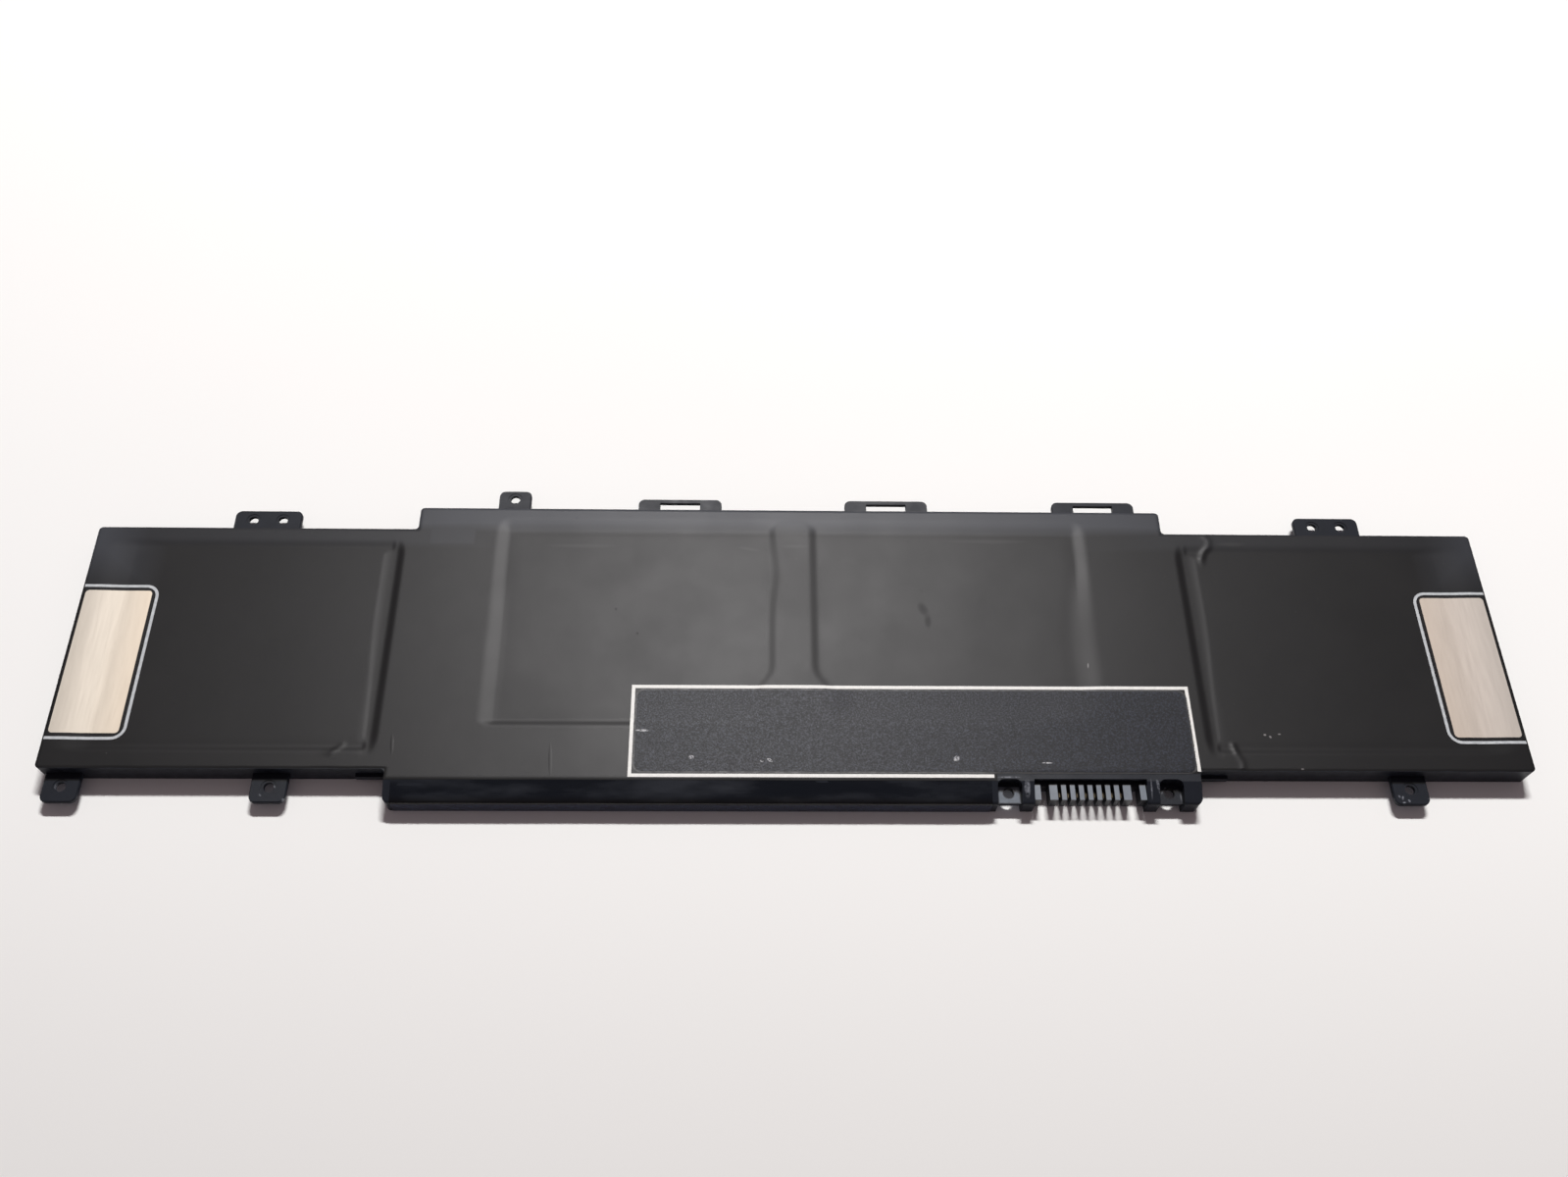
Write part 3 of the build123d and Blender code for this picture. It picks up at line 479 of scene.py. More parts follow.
def from_path(x, y, path):
    """Distance from a path of straight runs."""
    best = np.full(x.shape, 1.0)
    for (ax, ay), (bx, by) in zip(path, path[1:]):
        along = np.hypot(bx - ax, by - ay)
        t = np.clip(((x - ax) * (bx - ax) + (y - ay) * (by - ay)) / along ** 2, 0.0, 1.0)
        best = np.minimum(best, np.hypot(x - ax - t * (bx - ax), y - ay - t * (by - ay)))
    return best


def from_edge(x, y):
    """Distance from the film's outline."""
    corners = film_plan()
    return from_path(x, y, corners + corners[:1])


def hollow(x, y, place, runs, stiffness=1.0):
    """A hollow with sloping sides: 0 at its rim and 1 on its floor."""
    x0, x1, y0, y1 = place
    left, right, near, far = [run * stiffness for run in runs]
    u = np.minimum((x - x0) / left, (x1 - x) / right)
    v = np.minimum((y - y0) / near, (y1 - y) / far)
    return sloped(1.0 - np.hypot(np.maximum(1.0 - u, 0.0), np.maximum(1.0 - v, 0.0)))


def dip(x, y, place, runs, stiffness=1.0):
    """Depth of the film over a cell, with a faint valley along the foot of the slopes."""
    x0, x1, y0, y1 = place
    left, right, near, far = [run * stiffness for run in runs]
    across = np.minimum(x - x0 - left, x1 - right - x)
    along = np.minimum(y - y0 - near, y1 - far - y)
    inside = np.minimum(across, along)
    valley = FOOT_VALLEY / stiffness * np.exp(-(inside / FOOT_WIDTH) ** 2)
    return DIP * hollow(x, y, place, runs, stiffness) + valley


def groove(x, y):
    """Depth of the groove beside a wing's cell, whose outer side is steeper towards the near end."""
    steep = smooth((GROOVE_TURN_PLACE - y) / GROOVE_TURN_RUN)
    outer = GROOVE_OUTER_FAR + (GROOVE_OUTER_NEAR - GROOVE_OUTER_FAR) * steep
    start = GROOVE_X - GROOVE_FLOOR / 2 - GROOVE_INNER_RUN
    end = GROOVE_X + GROOVE_FLOOR / 2 + outer
    place = (start, end, WING_CELL[2] - GROOVE_END_REACH, WING_CELL[3])
    return GROOVE_DEPTH * hollow(x, y, place, (GROOVE_INNER_RUN, outer, *GROOVE_END_RUNS))


def strip(x, y, stiffness):
    """The strip between the middle cells, pressed in at its left and flared under the label: 1 on top."""
    flare = STRIP_FLARE * smooth((STRIP_FLARE_START - y) / STRIP_FLARE_RUN) ** 2
    place = (-STRIP_HALF, STRIP_HALF, TOP_NEAR, MIDDLE_CELL[3] - STRIP_END_INSET)
    d = outside(np.maximum(np.abs(x) - flare, 0.0), y, place, STRIP_CORNER)
    pinch = PINCH * np.exp(-((y - PINCH_PLACE[1]) / PINCH_HALF[1]) ** 2) * (x < 0.0)
    return 1.0 - sloped((d + pinch) / (STRIP_RUN * stiffness + pinch / 2))


def middle_runs(y):
    """Widths of the slopes round the middle field, the side ones eased towards the near side."""
    ease = smooth((SLOPE_EASE_PLACE - y) / SLOPE_EASE_RUN)
    left, right, near, far = MIDDLE_RUNS
    return left + SLOPE_EASE[0] * ease, right + SLOPE_EASE[1] * ease, near, far


def film_depth(x, y, stiffness):
    """How far the film is drawn down over the cells and into the grooves."""
    depth = dip(x, y, MIDDLE_DIP, middle_runs(y), stiffness) * (1.0 - strip(x, y, stiffness))
    pressed = np.hypot((x - PINCH_PLACE[0]) / PINCH_HALF[0], (y - PINCH_PLACE[1]) / PINCH_HALF[1])
    depth = depth + PINCH_DEPTH * (1.0 - smooth(pressed))
    for side in (-1, 1):
        depth = np.maximum(depth, dip(side * x, y, WING_DIP, WING_RUNS))
        depth = np.maximum(depth, groove(side * x, y))
    return depth


def film_top(x, y, stiffness=1.0):
    """Height of the film's upper face, or of a stiffer sheet that lies on it."""
    depth = film_depth(x, y, stiffness)
    lift = BULGE * rough(x, y, BULGE_LENGTH, BULGE_SEED)
    for path, width, height in CREASES:
        rise = np.minimum(height, depth + CREASE_PROUD)
        lift = lift + rise * np.exp(-(from_path(x, y, path) / width) ** 2)
    inner = smooth(from_edge(x, y) / ROLL_RUN)
    return BORDER_TOP - BULGE - depth + lift * inner - ROLL_DROP * (1.0 - inner)


# Mesh builders

def add_mesh(name, points, faces):
    """A smooth mesh object whose steep edges stay sharp."""
    mesh = bpy.data.meshes.new(name)
    mesh.from_pydata(points, [], faces)
    mesh.validate()
    for face in mesh.polygons:
        face.use_smooth = True
    mesh.set_sharp_from_angle(angle=SHARP_EDGE)
    piece = bpy.data.objects.new(name, mesh)
    bpy.context.scene.collection.objects.link(piece)
    return piece


def round_corner(x, y, corner, radius):
    """Bends the grid near an outer corner to a quarter circle."""
    cx, cy, sx, sy = corner
    u = (x - (cx - sx * radius)) * sx / radius
    v = (y - (cy - sy * radius)) * sy / radius
    here = (u > 0) & (u < CORNER_SLACK) & (v > 0) & (v < CORNER_SLACK)
    new_u = u * np.sqrt(np.maximum(1.0 - v * v / 2, 0.0))
    new_v = v * np.sqrt(np.maximum(1.0 - u * u / 2, 0.0))
    x = np.where(here, cx - sx * radius + sx * radius * new_u, x)
    y = np.where(here, cy - sy * radius + sy * radius * new_v, y)
    return x, y


def sheet(name, xs, ys, keep, shape):
    """A closed thin piece over the kept cells of a grid. shape gives x, y, top and under of its points."""
    gx, gy = np.meshgrid(xs, ys, indexing="ij")
    cells = keep((gx[:-1, :-1] + gx[1:, 1:]) / 2, (gy[:-1, :-1] + gy[1:, 1:]) / 2)
    kept = np.pad(cells, 1)
    beside = [kept[:-1, :-1], kept[1:, :-1], kept[1:, 1:], kept[:-1, 1:]]
    used = beside[0] | beside[1] | beside[2] | beside[3]
    rim = used & ~(beside[0] & beside[1] & beside[2] & beside[3])
    x, y, top, under = shape(gx, gy, rim)
    count = int(used.sum())
    number = np.full(gx.shape, -1)
    number[used] = np.arange(count)
    points = np.concatenate([np.stack([x[used], y[used], z[used]], 1) for z in (top, under)])
    faces = []
    for i, j in zip(*np.nonzero(cells)):
        ring = [int(n) for n in (number[i, j], number[i + 1, j], number[i + 1, j + 1], number[i, j + 1])]
        faces.append(ring)
        faces.append([count + n for n in reversed(ring)])
        for side, (di, dj) in enumerate(((0, -1), (1, 0), (0, 1), (-1, 0))):
            if not kept[i + 1 + di, j + 1 + dj]:
                a, b = ring[side], ring[(side + 1) % 4]
                faces.append([b, a, count + a, count + b])
    return add_mesh(name, points.tolist(), faces)


def grid_lines(breaks):
    """Grid lines between breaks, given as places each followed by the step up to the next."""
    marks = []
    for (start, step), (end, _) in zip(breaks, breaks[1:]):
        count = max(1, math.ceil((end - start) / step - STEP_SLACK))
        marks.extend(np.linspace(start, end, count + 1)[:-1])
    marks.append(breaks[-1][0])
    return np.array(marks)


def ribbon_sides(path, width):
    """The two edges of a line of that width along a path, mitred where it turns."""
    ahead = np.diff(path, axis=0)
    ahead /= np.linalg.norm(ahead, axis=1)[:, None]
    left = np.stack([-ahead[:, 1], ahead[:, 0]], 1)
    before = np.concatenate([left[:1], left])
    after = np.concatenate([left, left[-1:]])
    bisector = before + after
    bisector /= np.linalg.norm(bisector, axis=1)[:, None]
    mitre = bisector / np.sum(bisector * after, axis=1)[:, None] * width / 2
    return path + mitre, path - mitre


def ribbon(name, path, width):
    """A thin printed line along a path, drawn on the film."""
    rows = ribbon_sides(np.array(path), width)
    count = len(path)
    points = []
    for height in (INK, -INK_SUNK):
        for row in rows:
            z = film_top(row[:, 0], row[:, 1]) + height
            points.extend(np.column_stack([row, z]).tolist())
    faces = []
    for i in range(count - 1):
        j = i + 1
        faces.append([i, i + count, j + count, j])
        faces.append([2 * count + j, 3 * count + j, 3 * count + i, 2 * count + i])
        faces.append([i, j, 2 * count + j, 2 * count + i])
        faces.append([count + j, count + i, 3 * count + i, 3 * count + j])
    last = count - 1
    faces.append([0, 2 * count, 3 * count, count])
    faces.append([last, count + last, 3 * count + last, 2 * count + last])
    return add_mesh(name, points, faces)


def stepped(corners):
    """Points along straight runs between corners."""
    path = []
    for (ax, ay), (bx, by) in zip(corners, corners[1:]):
        count = max(1, round(math.hypot(bx - ax, by - ay) / LINE_STEP))
        for k in range(count):
            path.append((ax + (bx - ax) * k / count, ay + (by - ay) * k / count))
    path.append(corners[-1])
    return path


def arc(cx, cy, radius, start, end):
    """Points on a circle between two angles."""
    angles = np.linspace(start, end, ARC_POINTS)
    return [(cx + radius * math.cos(a), cy + radius * math.sin(a)) for a in angles]


def between(start, end, count):
    """Evenly spaced points from start to end."""
    return [start + (end - start) * t for t in np.linspace(0.0, 1.0, count)]


# Material helpers

def new_material(name):
    """A node material: its nodes, links, shader and object coordinates."""
    material = bpy.data.materials.new(name)
    material.use_nodes = True
    tree = material.node_tree
    shader = tree.nodes["Principled BSDF"]
    coords = tree.nodes.new("ShaderNodeTexCoord").outputs["Object"]
    return material, tree, shader, coords


def noise_of(tree, coords, size, detail=DETAIL, roughness=NOISE_ROUGHNESS):
    """Noise with features of that size."""
    node = tree.nodes.new("ShaderNodeTexNoise")
    node.inputs["Scale"].default_value = 1.0 / size
    node.inputs["Detail"].default_value = detail
    node.inputs["Roughness"].default_value = roughness
    tree.links.new(coords, node.inputs["Vector"])
    return node.outputs["Fac"]


def stretched(tree, coords, scale):
    """Coordinates scaled along each axis."""
    node = tree.nodes.new("ShaderNodeMapping")
    node.inputs["Scale"].default_value = scale
    tree.links.new(coords, node.inputs["Vector"])
    return node.outputs["Vector"]


def ramp_of(tree, value, low, high, start=0.0, end=1.0):
    """A value carried from low..high to start..end, held at the ends."""
    node = tree.nodes.new("ShaderNodeMapRange")
    node.inputs["From Min"].default_value = low
    node.inputs["From Max"].default_value = high
    node.inputs["To Min"].default_value = start
    node.inputs["To Max"].default_value = end
    tree.links.new(value, node.inputs["Value"])
    return node.outputs["Result"]


def joined(tree, operation, one, other):
    """Two values put through a math operation; the second may be a plain number."""
    node = tree.nodes.new("ShaderNodeMath")
    node.operation = operation
    tree.links.new(one, node.inputs[0])
    if isinstance(other, float):
        node.inputs[1].default_value = other
    else:
        tree.links.new(other, node.inputs[1])
    return node.outputs["Value"]


def squares_of(tree, one, other):
    """The sum of the squares of two values."""
    return joined(tree, "ADD", joined(tree, "MULTIPLY", one, one), joined(tree, "MULTIPLY", other, other))


def blended(tree, share, one, other):
    """One colour where share is 0, the other where it is 1; each may be a plain colour."""
    node = tree.nodes.new("ShaderNodeMix")
    node.data_type = "RGBA"
    tree.links.new(share, node.inputs["Factor"])
    for socket, colour in ((node.inputs[6], one), (node.inputs[7], other)):
        if isinstance(colour, tuple):
            socket.default_value = (*colour, 1.0)
        else:
            tree.links.new(colour, socket)
    return node.outputs[2]


def mixed(tree, share, one, other):
    """One shader where share is 0, the other where it is 1."""
    node = tree.nodes.new("ShaderNodeMixShader")
    tree.links.new(share, node.inputs["Fac"])
    tree.links.new(one, node.inputs[1])
    tree.links.new(other, node.inputs[2])
    return node.outputs["Shader"]


def bumped(tree, shader, height, depth, below=None):
    """Bump from a height of 0 to 1 that stands for that depth."""
    node = tree.nodes.new("ShaderNodeBump")
    node.inputs["Distance"].default_value = depth
    tree.links.new(height, node.inputs["Height"])
    if below:
        tree.links.new(below, node.inputs["Normal"])
    tree.links.new(node.outputs["Normal"], shader.inputs["Normal"])
    return node.outputs["Normal"]


def in_place(tree, coords, x, y, half_x, half_y, turn):
    """Coordinates in a place on the pack, 1 at its half sizes."""
    node = tree.nodes.new("ShaderNodeMapping")
    node.vector_type = "TEXTURE"
    node.inputs["Location"].default_value = (x, y, 0.0)
    node.inputs["Rotation"].default_value = (0.0, 0.0, turn)
    node.inputs["Scale"].default_value = (half_x, half_y, 1.0)
    tree.links.new(coords, node.inputs["Vector"])
    return node.outputs["Vector"]


def axes_of(tree, vector):
    """The x, y and z of a vector."""
    node = tree.nodes.new("ShaderNodeSeparateXYZ")
    tree.links.new(vector, node.inputs["Vector"])
    return node.outputs["X"], node.outputs["Y"], node.outputs["Z"]


def oval(tree, coords, x, y, half_x, half_y, turn=0.0, soft=0.5):
    """1 inside an oval place on the pack and 0 outside it."""
    across, along, _ = axes_of(tree, in_place(tree, coords, x, y, half_x, half_y, turn))
    return ramp_of(tree, squares_of(tree, across, along), (1.0 - soft) ** 2, 1.0, 1.0, 0.0)


def rectangle(tree, coords, x, y, half_x, half_y, soft=0.1, strength=1.0):
    """The strength inside a rectangle on the pack and 0 outside it."""
    across, along, _ = axes_of(tree, in_place(tree, coords, x, y, half_x, half_y, 0.0))
    across = joined(tree, "ABSOLUTE", across, 0.0)
    along = joined(tree, "ABSOLUTE", along, 0.0)
    return ramp_of(tree, joined(tree, "MAXIMUM", across, along), 1.0 - soft, 1.0, strength, 0.0)


def marked(tree, coords, form, places):
    """The strongest of several marks of one form, oval or rectangle."""
    strongest = form(tree, coords, *places[0])
    for place in places[1:]:
        strongest = joined(tree, "MAXIMUM", strongest, form(tree, coords, *place))
    return strongest


def coat(tree, shader, colour, wear, roughness, specular=PLAIN_SPECULAR):
    """Gives a shader its colour, its specular level and a roughness that follows the wear."""
    tree.links.new(colour, shader.inputs["Base Color"])
    tree.links.new(ramp_of(tree, wear, *SOFT_SPAN, *roughness), shader.inputs["Roughness"])
    shader.inputs["Specular IOR Level"].default_value = specular


# Materials

def black_film():
    """Dull black film with faint mottling, fine grain, smudges, a little dust and painted sheen along its
    far edge and outer ends.
    """
    material, tree, shader, coords = new_material("black_film")
    mottle = noise_of(tree, coords, FILM_MOTTLE, HIGH_DETAIL)
    colour = blended(tree, ramp_of(tree, mottle, *FIRM_SPAN), *FILM_COLOURS)
    # Painted sheen: a lighter bluish colour along the far edge and at the wings' outer ends
    colour = blended(tree, marked(tree, coords, rectangle, FILM_PAINTED_SHEEN), colour, FILM_PAINTED_SHEEN_COLOUR)
    streaks = marked(tree, coords, oval, FILM_STREAKS)
    streaks = ramp_of(tree, streaks, 0.0, 1.0, 0.0, STREAK_STRENGTH)
    colour = blended(tree, streaks, colour, STREAK_COLOUR)
    dust = noise_of(tree, coords, DUST_SIZE, LOW_DETAIL)
    dust = ramp_of(tree, dust, *DUST_SPAN, 0.0, DUST_STRENGTH)
    dust = joined(tree, "MAXIMUM", dust, marked(tree, coords, oval, FILM_SCRATCHES))
    tree.links.new(blended(tree, dust, colour, DUST_COLOUR), shader.inputs["Base Color"])
    rubbed = noise_of(tree, coords, FILM_RUBBED, HIGH_DETAIL)
    rubbed = ramp_of(tree, rubbed, *SOFT_SPAN, *FILM_ROUGHNESS)
    smudges = marked(tree, coords, oval, FILM_SMUDGES)
    smudges = ramp_of(tree, smudges, 0.0, 1.0, 0.0, SMUDGE_ROUGHNESS)
    tree.links.new(joined(tree, "ADD", rubbed, smudges), shader.inputs["Roughness"])
    shader.inputs["Specular IOR Level"].default_value = FILM_SPECULAR
    under = bumped(tree, shader, noise_of(tree, coords, FILM_RIPPLE, LOW_DETAIL), FILM_RIPPLE_DEPTH)
    under = bumped(tree, shader, marked(tree, coords, oval, FILM_SEAMS), FILM_SEAM_DEPTH, under)
    bumped(tree, shader, noise_of(tree, coords, FILM_GRAIN), FILM_GRAIN_DEPTH, under)
    return material


def gloss_tape():
    """Glossy black film, slightly uneven, with painted lighter highlight patches, painted shade along its
    shoulder and a painted bluish reflection on its front.
    """
    material, tree, shader, coords = new_material("gloss_tape")
    # Painted highlight: lighter patches stretched along the nose
    mottle = noise_of(tree, stretched(tree, coords, TAPE_PAINTED_HIGHLIGHT_STRETCH), TAPE_PAINTED_HIGHLIGHT_SIZE)
    colour = blended(tree, ramp_of(tree, mottle, *TAPE_PAINTED_HIGHLIGHT_SPAN), *TAPE_COLOURS_AND_PAINTED_HIGHLIGHT)
    height = axes_of(tree, coords)[2]
    # Painted shade along the shoulder
    shoulder = ramp_of(tree, height, NOSE_SHOULDER, NOSE_SHOULDER + NOSE_FADE, 1.0, 0.0)
    colour = blended(tree, shoulder, colour, TAPE_SHOULDER_PAINTED_SHADE)
    # Painted reflection on the front wall below the shoulder
    front = ramp_of(tree, height, NOSE_FRONT_TOP, NOSE_FRONT_TOP - NOSE_FADE)
    colour = blended(tree, front, colour, TAPE_FRONT_PAINTED_REFLECTION)
    coat(tree, shader, colour, mottle, TAPE_ROUGHNESS, TAPE_SPECULAR)
    ripple = noise_of(tree, stretched(tree, coords, TAPE_RIPPLE_STRETCH), TAPE_RIPPLE)
    bumped(tree, shader, ripple, TAPE_RIPPLE_DEPTH)
    return material


def grained_label():
    """Black pebbled label with bluish flecks and a few pale scuffs."""
    material, tree, shader, coords = new_material("grained_label")
    grain = noise_of(tree, coords, GRAINED_SIZE, HIGH_DETAIL, GRAINED_NOISE_ROUGHNESS)
    colour = blended(tree, ramp_of(tree, grain, *GRAINED_SPAN), *GRAINED_COLOURS)
    chalk = ramp_of(tree, noise_of(tree, coords, CHALK_SIZE), *CHALK_SPAN)
    scuffs = joined(tree, "MULTIPLY", marked(tree, coords, oval, RATING_SCUFFS), chalk)
    colour = blended(tree, scuffs, colour, CHALK_COLOUR)
    coat(tree, shader, colour, grain, GRAINED_ROUGHNESS, GRAINED_SPECULAR)
    bumped(tree, shader, grain, GRAINED_DEPTH)
    return material


def satin_label(name, colours, box):
    """Satin champagne label with painted sheen that changes across it, given as colours at its left,
    middle and right.
    """
    material, tree, shader, coords = new_material(name)
    low, high = box
    middle = (low.x + high.x) / 2
    across = axes_of(tree, coords)[0]
    # Painted sheen: the colour changes from left through middle to right
    colour = blended(tree, ramp_of(tree, across, low.x, middle), colours[0], colours[1])
    colour = blended(tree, ramp_of(tree, across, middle, high.x), colour, colours[2])
    lines = noise_of(tree, stretched(tree, coords, SATIN_LINE_STRETCH), SATIN_LINE)
    faint = ramp_of(tree, lines, *SOFT_SPAN, 0.0, SATIN_LINE_STRENGTH)
    coat(tree, shader, blended(tree, faint, colour, SATIN_LINE_COLOUR), lines, SATIN_ROUGHNESS)
    shader.inputs["Metallic"].default_value = SATIN_METALLIC
    bumped(tree, shader, lines, SATIN_LINE_DEPTH)
    return material


def ink(name, colours):
    """Printed line with slightly uneven cover."""
    material, tree, shader, coords = new_material(name)
    cover = noise_of(tree, coords, INK_COVER, HIGH_DETAIL)
    shade = blended(tree, ramp_of(tree, cover, *FIRM_SPAN), *colours)
    coat(tree, shader, shade, cover, INK_ROUGHNESS)
    bumped(tree, shader, cover, INK_DEPTH)
    return material


def flow_marks(tree, coords):
    """Faint flow marks of a moulding."""
    return noise_of(tree, coords, FLOW, FLOW_DETAIL, FLOW_NOISE_ROUGHNESS)


def moulded(name, dark, light, roughness, grain_size, grain_depth):
    """Moulded plastic: fine texture, faint flow marks and rubbed places."""
    material, tree, shader, coords = new_material(name)
    flow = flow_marks(tree, coords)
    shade = blended(tree, ramp_of(tree, flow, *SOFT_SPAN), dark, light)
    coat(tree, shader, shade, flow, roughness)
    bumped(tree, shader, noise_of(tree, coords, grain_size), grain_depth)
    return material


def frame_plastic():
    """Black moulded plastic with a painted pale sheen on the left ear, painted shade round the ears' screw
    holes, and scuffs and painted glints at the tabs and the connector.
    """
    material, tree, shader, coords = new_material("frame_plastic")
    flow = flow_marks(tree, coords)
    colour = blended(tree, ramp_of(tree, flow, *SOFT_SPAN), *FRAME_COLOURS)
    rubbed = noise_of(tree, coords, FRAME_WEAR_AND_SHEEN_NOISE)
    # Painted sheen: pale colour on the left ear's top
    pale = ramp_of(tree, rubbed, *EAR_SHEEN_SPAN, *EAR_SHEEN_STRENGTH)
    pale = joined(tree, "MULTIPLY", rectangle(tree, coords, *LEFT_EAR_PAINTED_SHEEN), pale)
    colour = blended(tree, pale, colour, EAR_PAINTED_SHEEN_COLOUR)
    # Scuffs on the tabs and painted glints on the partitions, the right ear and the ledge edges
    scuffs = ramp_of(tree, rubbed, *FRAME_SCUFF_AND_GLINT_SPAN)
    scuffs = joined(tree, "MULTIPLY", marked(tree, coords, oval, FRAME_SCUFFS_AND_GLINTS), scuffs)
    colour = blended(tree, scuffs, colour, FRAME_SCUFF_AND_GLINT_COLOUR)
    # Painted shade round the ears' screw holes
    colour = blended(tree, marked(tree, coords, oval, EAR_RING_PAINTED_SHADE), colour, RING_PAINTED_SHADE_COLOUR)
    coat(tree, shader, colour, flow, FRAME_ROUGHNESS, FRAME_SPECULAR)
    bumped(tree, shader, noise_of(tree, coords, FRAME_GRAIN), FRAME_GRAIN_DEPTH)
    return material


def connector_plastic():
    """Dark moulded plastic with a painted pale blue-grey sheen on the tops of the bars and painted shade
    on their sides.
    """
    material, tree, shader, coords = new_material("connector_plastic")
    flow = flow_marks(tree, coords)
    # Painted sheen: the pale colour of the bars' tops
    worn = blended(tree, ramp_of(tree, flow, *SOFT_SPAN), *BAR_TOP_PAINTED_SHEEN)
    bar_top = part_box("connector_housing")[1].z
    height = axes_of(tree, coords)[2]
    on_top = ramp_of(tree, height, bar_top - BAR_TOP_BAND, bar_top - BAR_TOP_BAND / 2)
    # Painted shade below the tops, painted sheen on them
    coat(tree, shader, blended(tree, on_top, BAR_SIDE_PAINTED_SHADE, worn), flow, BAR_ROUGHNESS)
    bumped(tree, shader, noise_of(tree, coords, BAR_GRAIN), BAR_GRAIN_DEPTH)
    return material


def metal(name, dark, light, roughness, stretch):
    """Bare metal with fine rolling lines and dull spots."""
    material, tree, shader, coords = new_material(name)
    lines = noise_of(tree, stretched(tree, coords, stretch), METAL_LINE, HIGH_DETAIL)
    spots = noise_of(tree, coords, METAL_SPOT, HIGH_DETAIL)
    coat(tree, shader, blended(tree, spots, dark, light), lines, roughness)
    shader.inputs["Metallic"].default_value = 1.0
    bumped(tree, shader, lines, METAL_LINE_DEPTH)
    return material


def circuit_board():
    """Dark green solder mask with a faint trace relief."""
    material, tree, shader, coords = new_material("circuit_board")
    brick = tree.nodes.new("ShaderNodeTexBrick")
    brick.inputs["Scale"].default_value = TRACK_SCALE
    brick.inputs["Mortar Size"].default_value = TRACK_WIDTH
    tree.links.new(coords, brick.inputs["Vector"])
    tracks = brick.outputs["Fac"]
    mottle = noise_of(tree, coords, BOARD_MOTTLE)
    ground = blended(tree, mottle, *BOARD_COLOURS)
    coat(tree, shader, blended(tree, tracks, ground, TRACK_COLOUR), mottle, BOARD_ROUGHNESS)
    bumped(tree, shader, tracks, TRACK_DEPTH)
    return material


def paper_floor():
    """White paper with painted shade that greys it towards the camera, clear from below and plain white
    far from the pack.
    """
    material, tree, shader, coords = new_material("paper_floor")
    across, along, _ = axes_of(tree, coords)
    cloud = blended(tree, noise_of(tree, coords, FLOOR_CLOUD, LOW_DETAIL), *FLOOR_COLOURS)
    # Painted shade: greyer towards the camera
    near = ramp_of(tree, along, *FLOOR_SHADE_FADE)
    tree.links.new(blended(tree, near, cloud, FLOOR_NEAR_PAINTED_SHADE), shader.inputs["Base Color"])
    shader.inputs["Roughness"].default_value = FLOOR_ROUGHNESS
    shader.inputs["Specular IOR Level"].default_value = FLOOR_SPECULAR
    below = tree.nodes.new("ShaderNodeNewGeometry").outputs["Backfacing"]
    clear = tree.nodes.new("ShaderNodeBsdfTransparent").outputs["BSDF"]
    paper = mixed(tree, below, shader.outputs["BSDF"], clear)
    distance = joined(tree, "POWER", squares_of(tree, across, along), 0.5)
    away = ramp_of(tree, distance, *FLOOR_WHITE)
    seen = tree.nodes.new("ShaderNodeLightPath").outputs["Is Camera Ray"]
    share = joined(tree, "MULTIPLY", away, joined(tree, "SUBTRACT", seen, below))
    white = tree.nodes.new("ShaderNodeEmission").outputs["Emission"]
    faded = mixed(tree, share, paper, white)
    tree.links.new(faded, tree.nodes["Material Output"].inputs["Surface"])
    return material


def paint(node, material):
    """Gives a solid of the model its material."""
    slots = nodes[node].data.materials
    slots.clear()
    slots.append(material)


# Pieces

def film_lines_x():
    """Grid lines along the film, closer where its shape turns."""
    slope = MIDDLE_CELL[1]
    half = [
        (0.0, FILM_COARSE),
        (STRIP_HALF - PINCH - FILM_FINE, FILM_FINE),
        (STRIP_HALF + STRIP_FLARE + STRIP_RUN + FILM_COARSE, FILM_COARSE),
        (slope - MIDDLE_RUNS[1] - FILM_FINE, FILM_FINE),
        (slope + FILM_FINE, FILM_COARSE),
        (MIDDLE_END - FILM_CORNER, FILM_FINE),
        (MIDDLE_END, FILM_COARSE),
        (GROOVE_X - GROOVE_FLOOR - GROOVE_INNER_RUN, FILM_FINE),
        (RIGHT_FAR_CREASE[1][0] + CREASE_MARGIN, FILM_COARSE),
        (WING_CELL[1] - WING_RUNS[1], FILM_WING_STEP),
        (WING_END - FILM_CORNER, FILM_CORNER_STEP),
        (WING_END, FILM_FINE),
    ]
    right = grid_lines(half)
    return np.unique(np.concatenate([-right, right, [FILM_STEP_X]]))


def film_lines_y():
    """Grid lines across the film, closer where its shape turns."""
    breaks = [
        (TOP_NEAR, FILM_FINE),
        (FILM_STEP_NEAR, FILM_FINE),
        (-WING_FAR, FILM_CORNER_STEP),
        (-WING_FAR + FILM_CORNER, FILM_FINE),
        (MIDDLE_CELL[2] + MIDDLE_RUNS[2] + FILM_FINE, FILM_FIELD_STEP),
        (RIGHT_FAR_CREASE[-1][1] - FILM_FINE, FILM_FINE),
        (WING_FAR, FILM_FINE),
        (MIDDLE_FAR - FILM_CORNER, FILM_CORNER_STEP),
        (MIDDLE_FAR, FILM_FINE),
    ]
    return grid_lines(breaks)


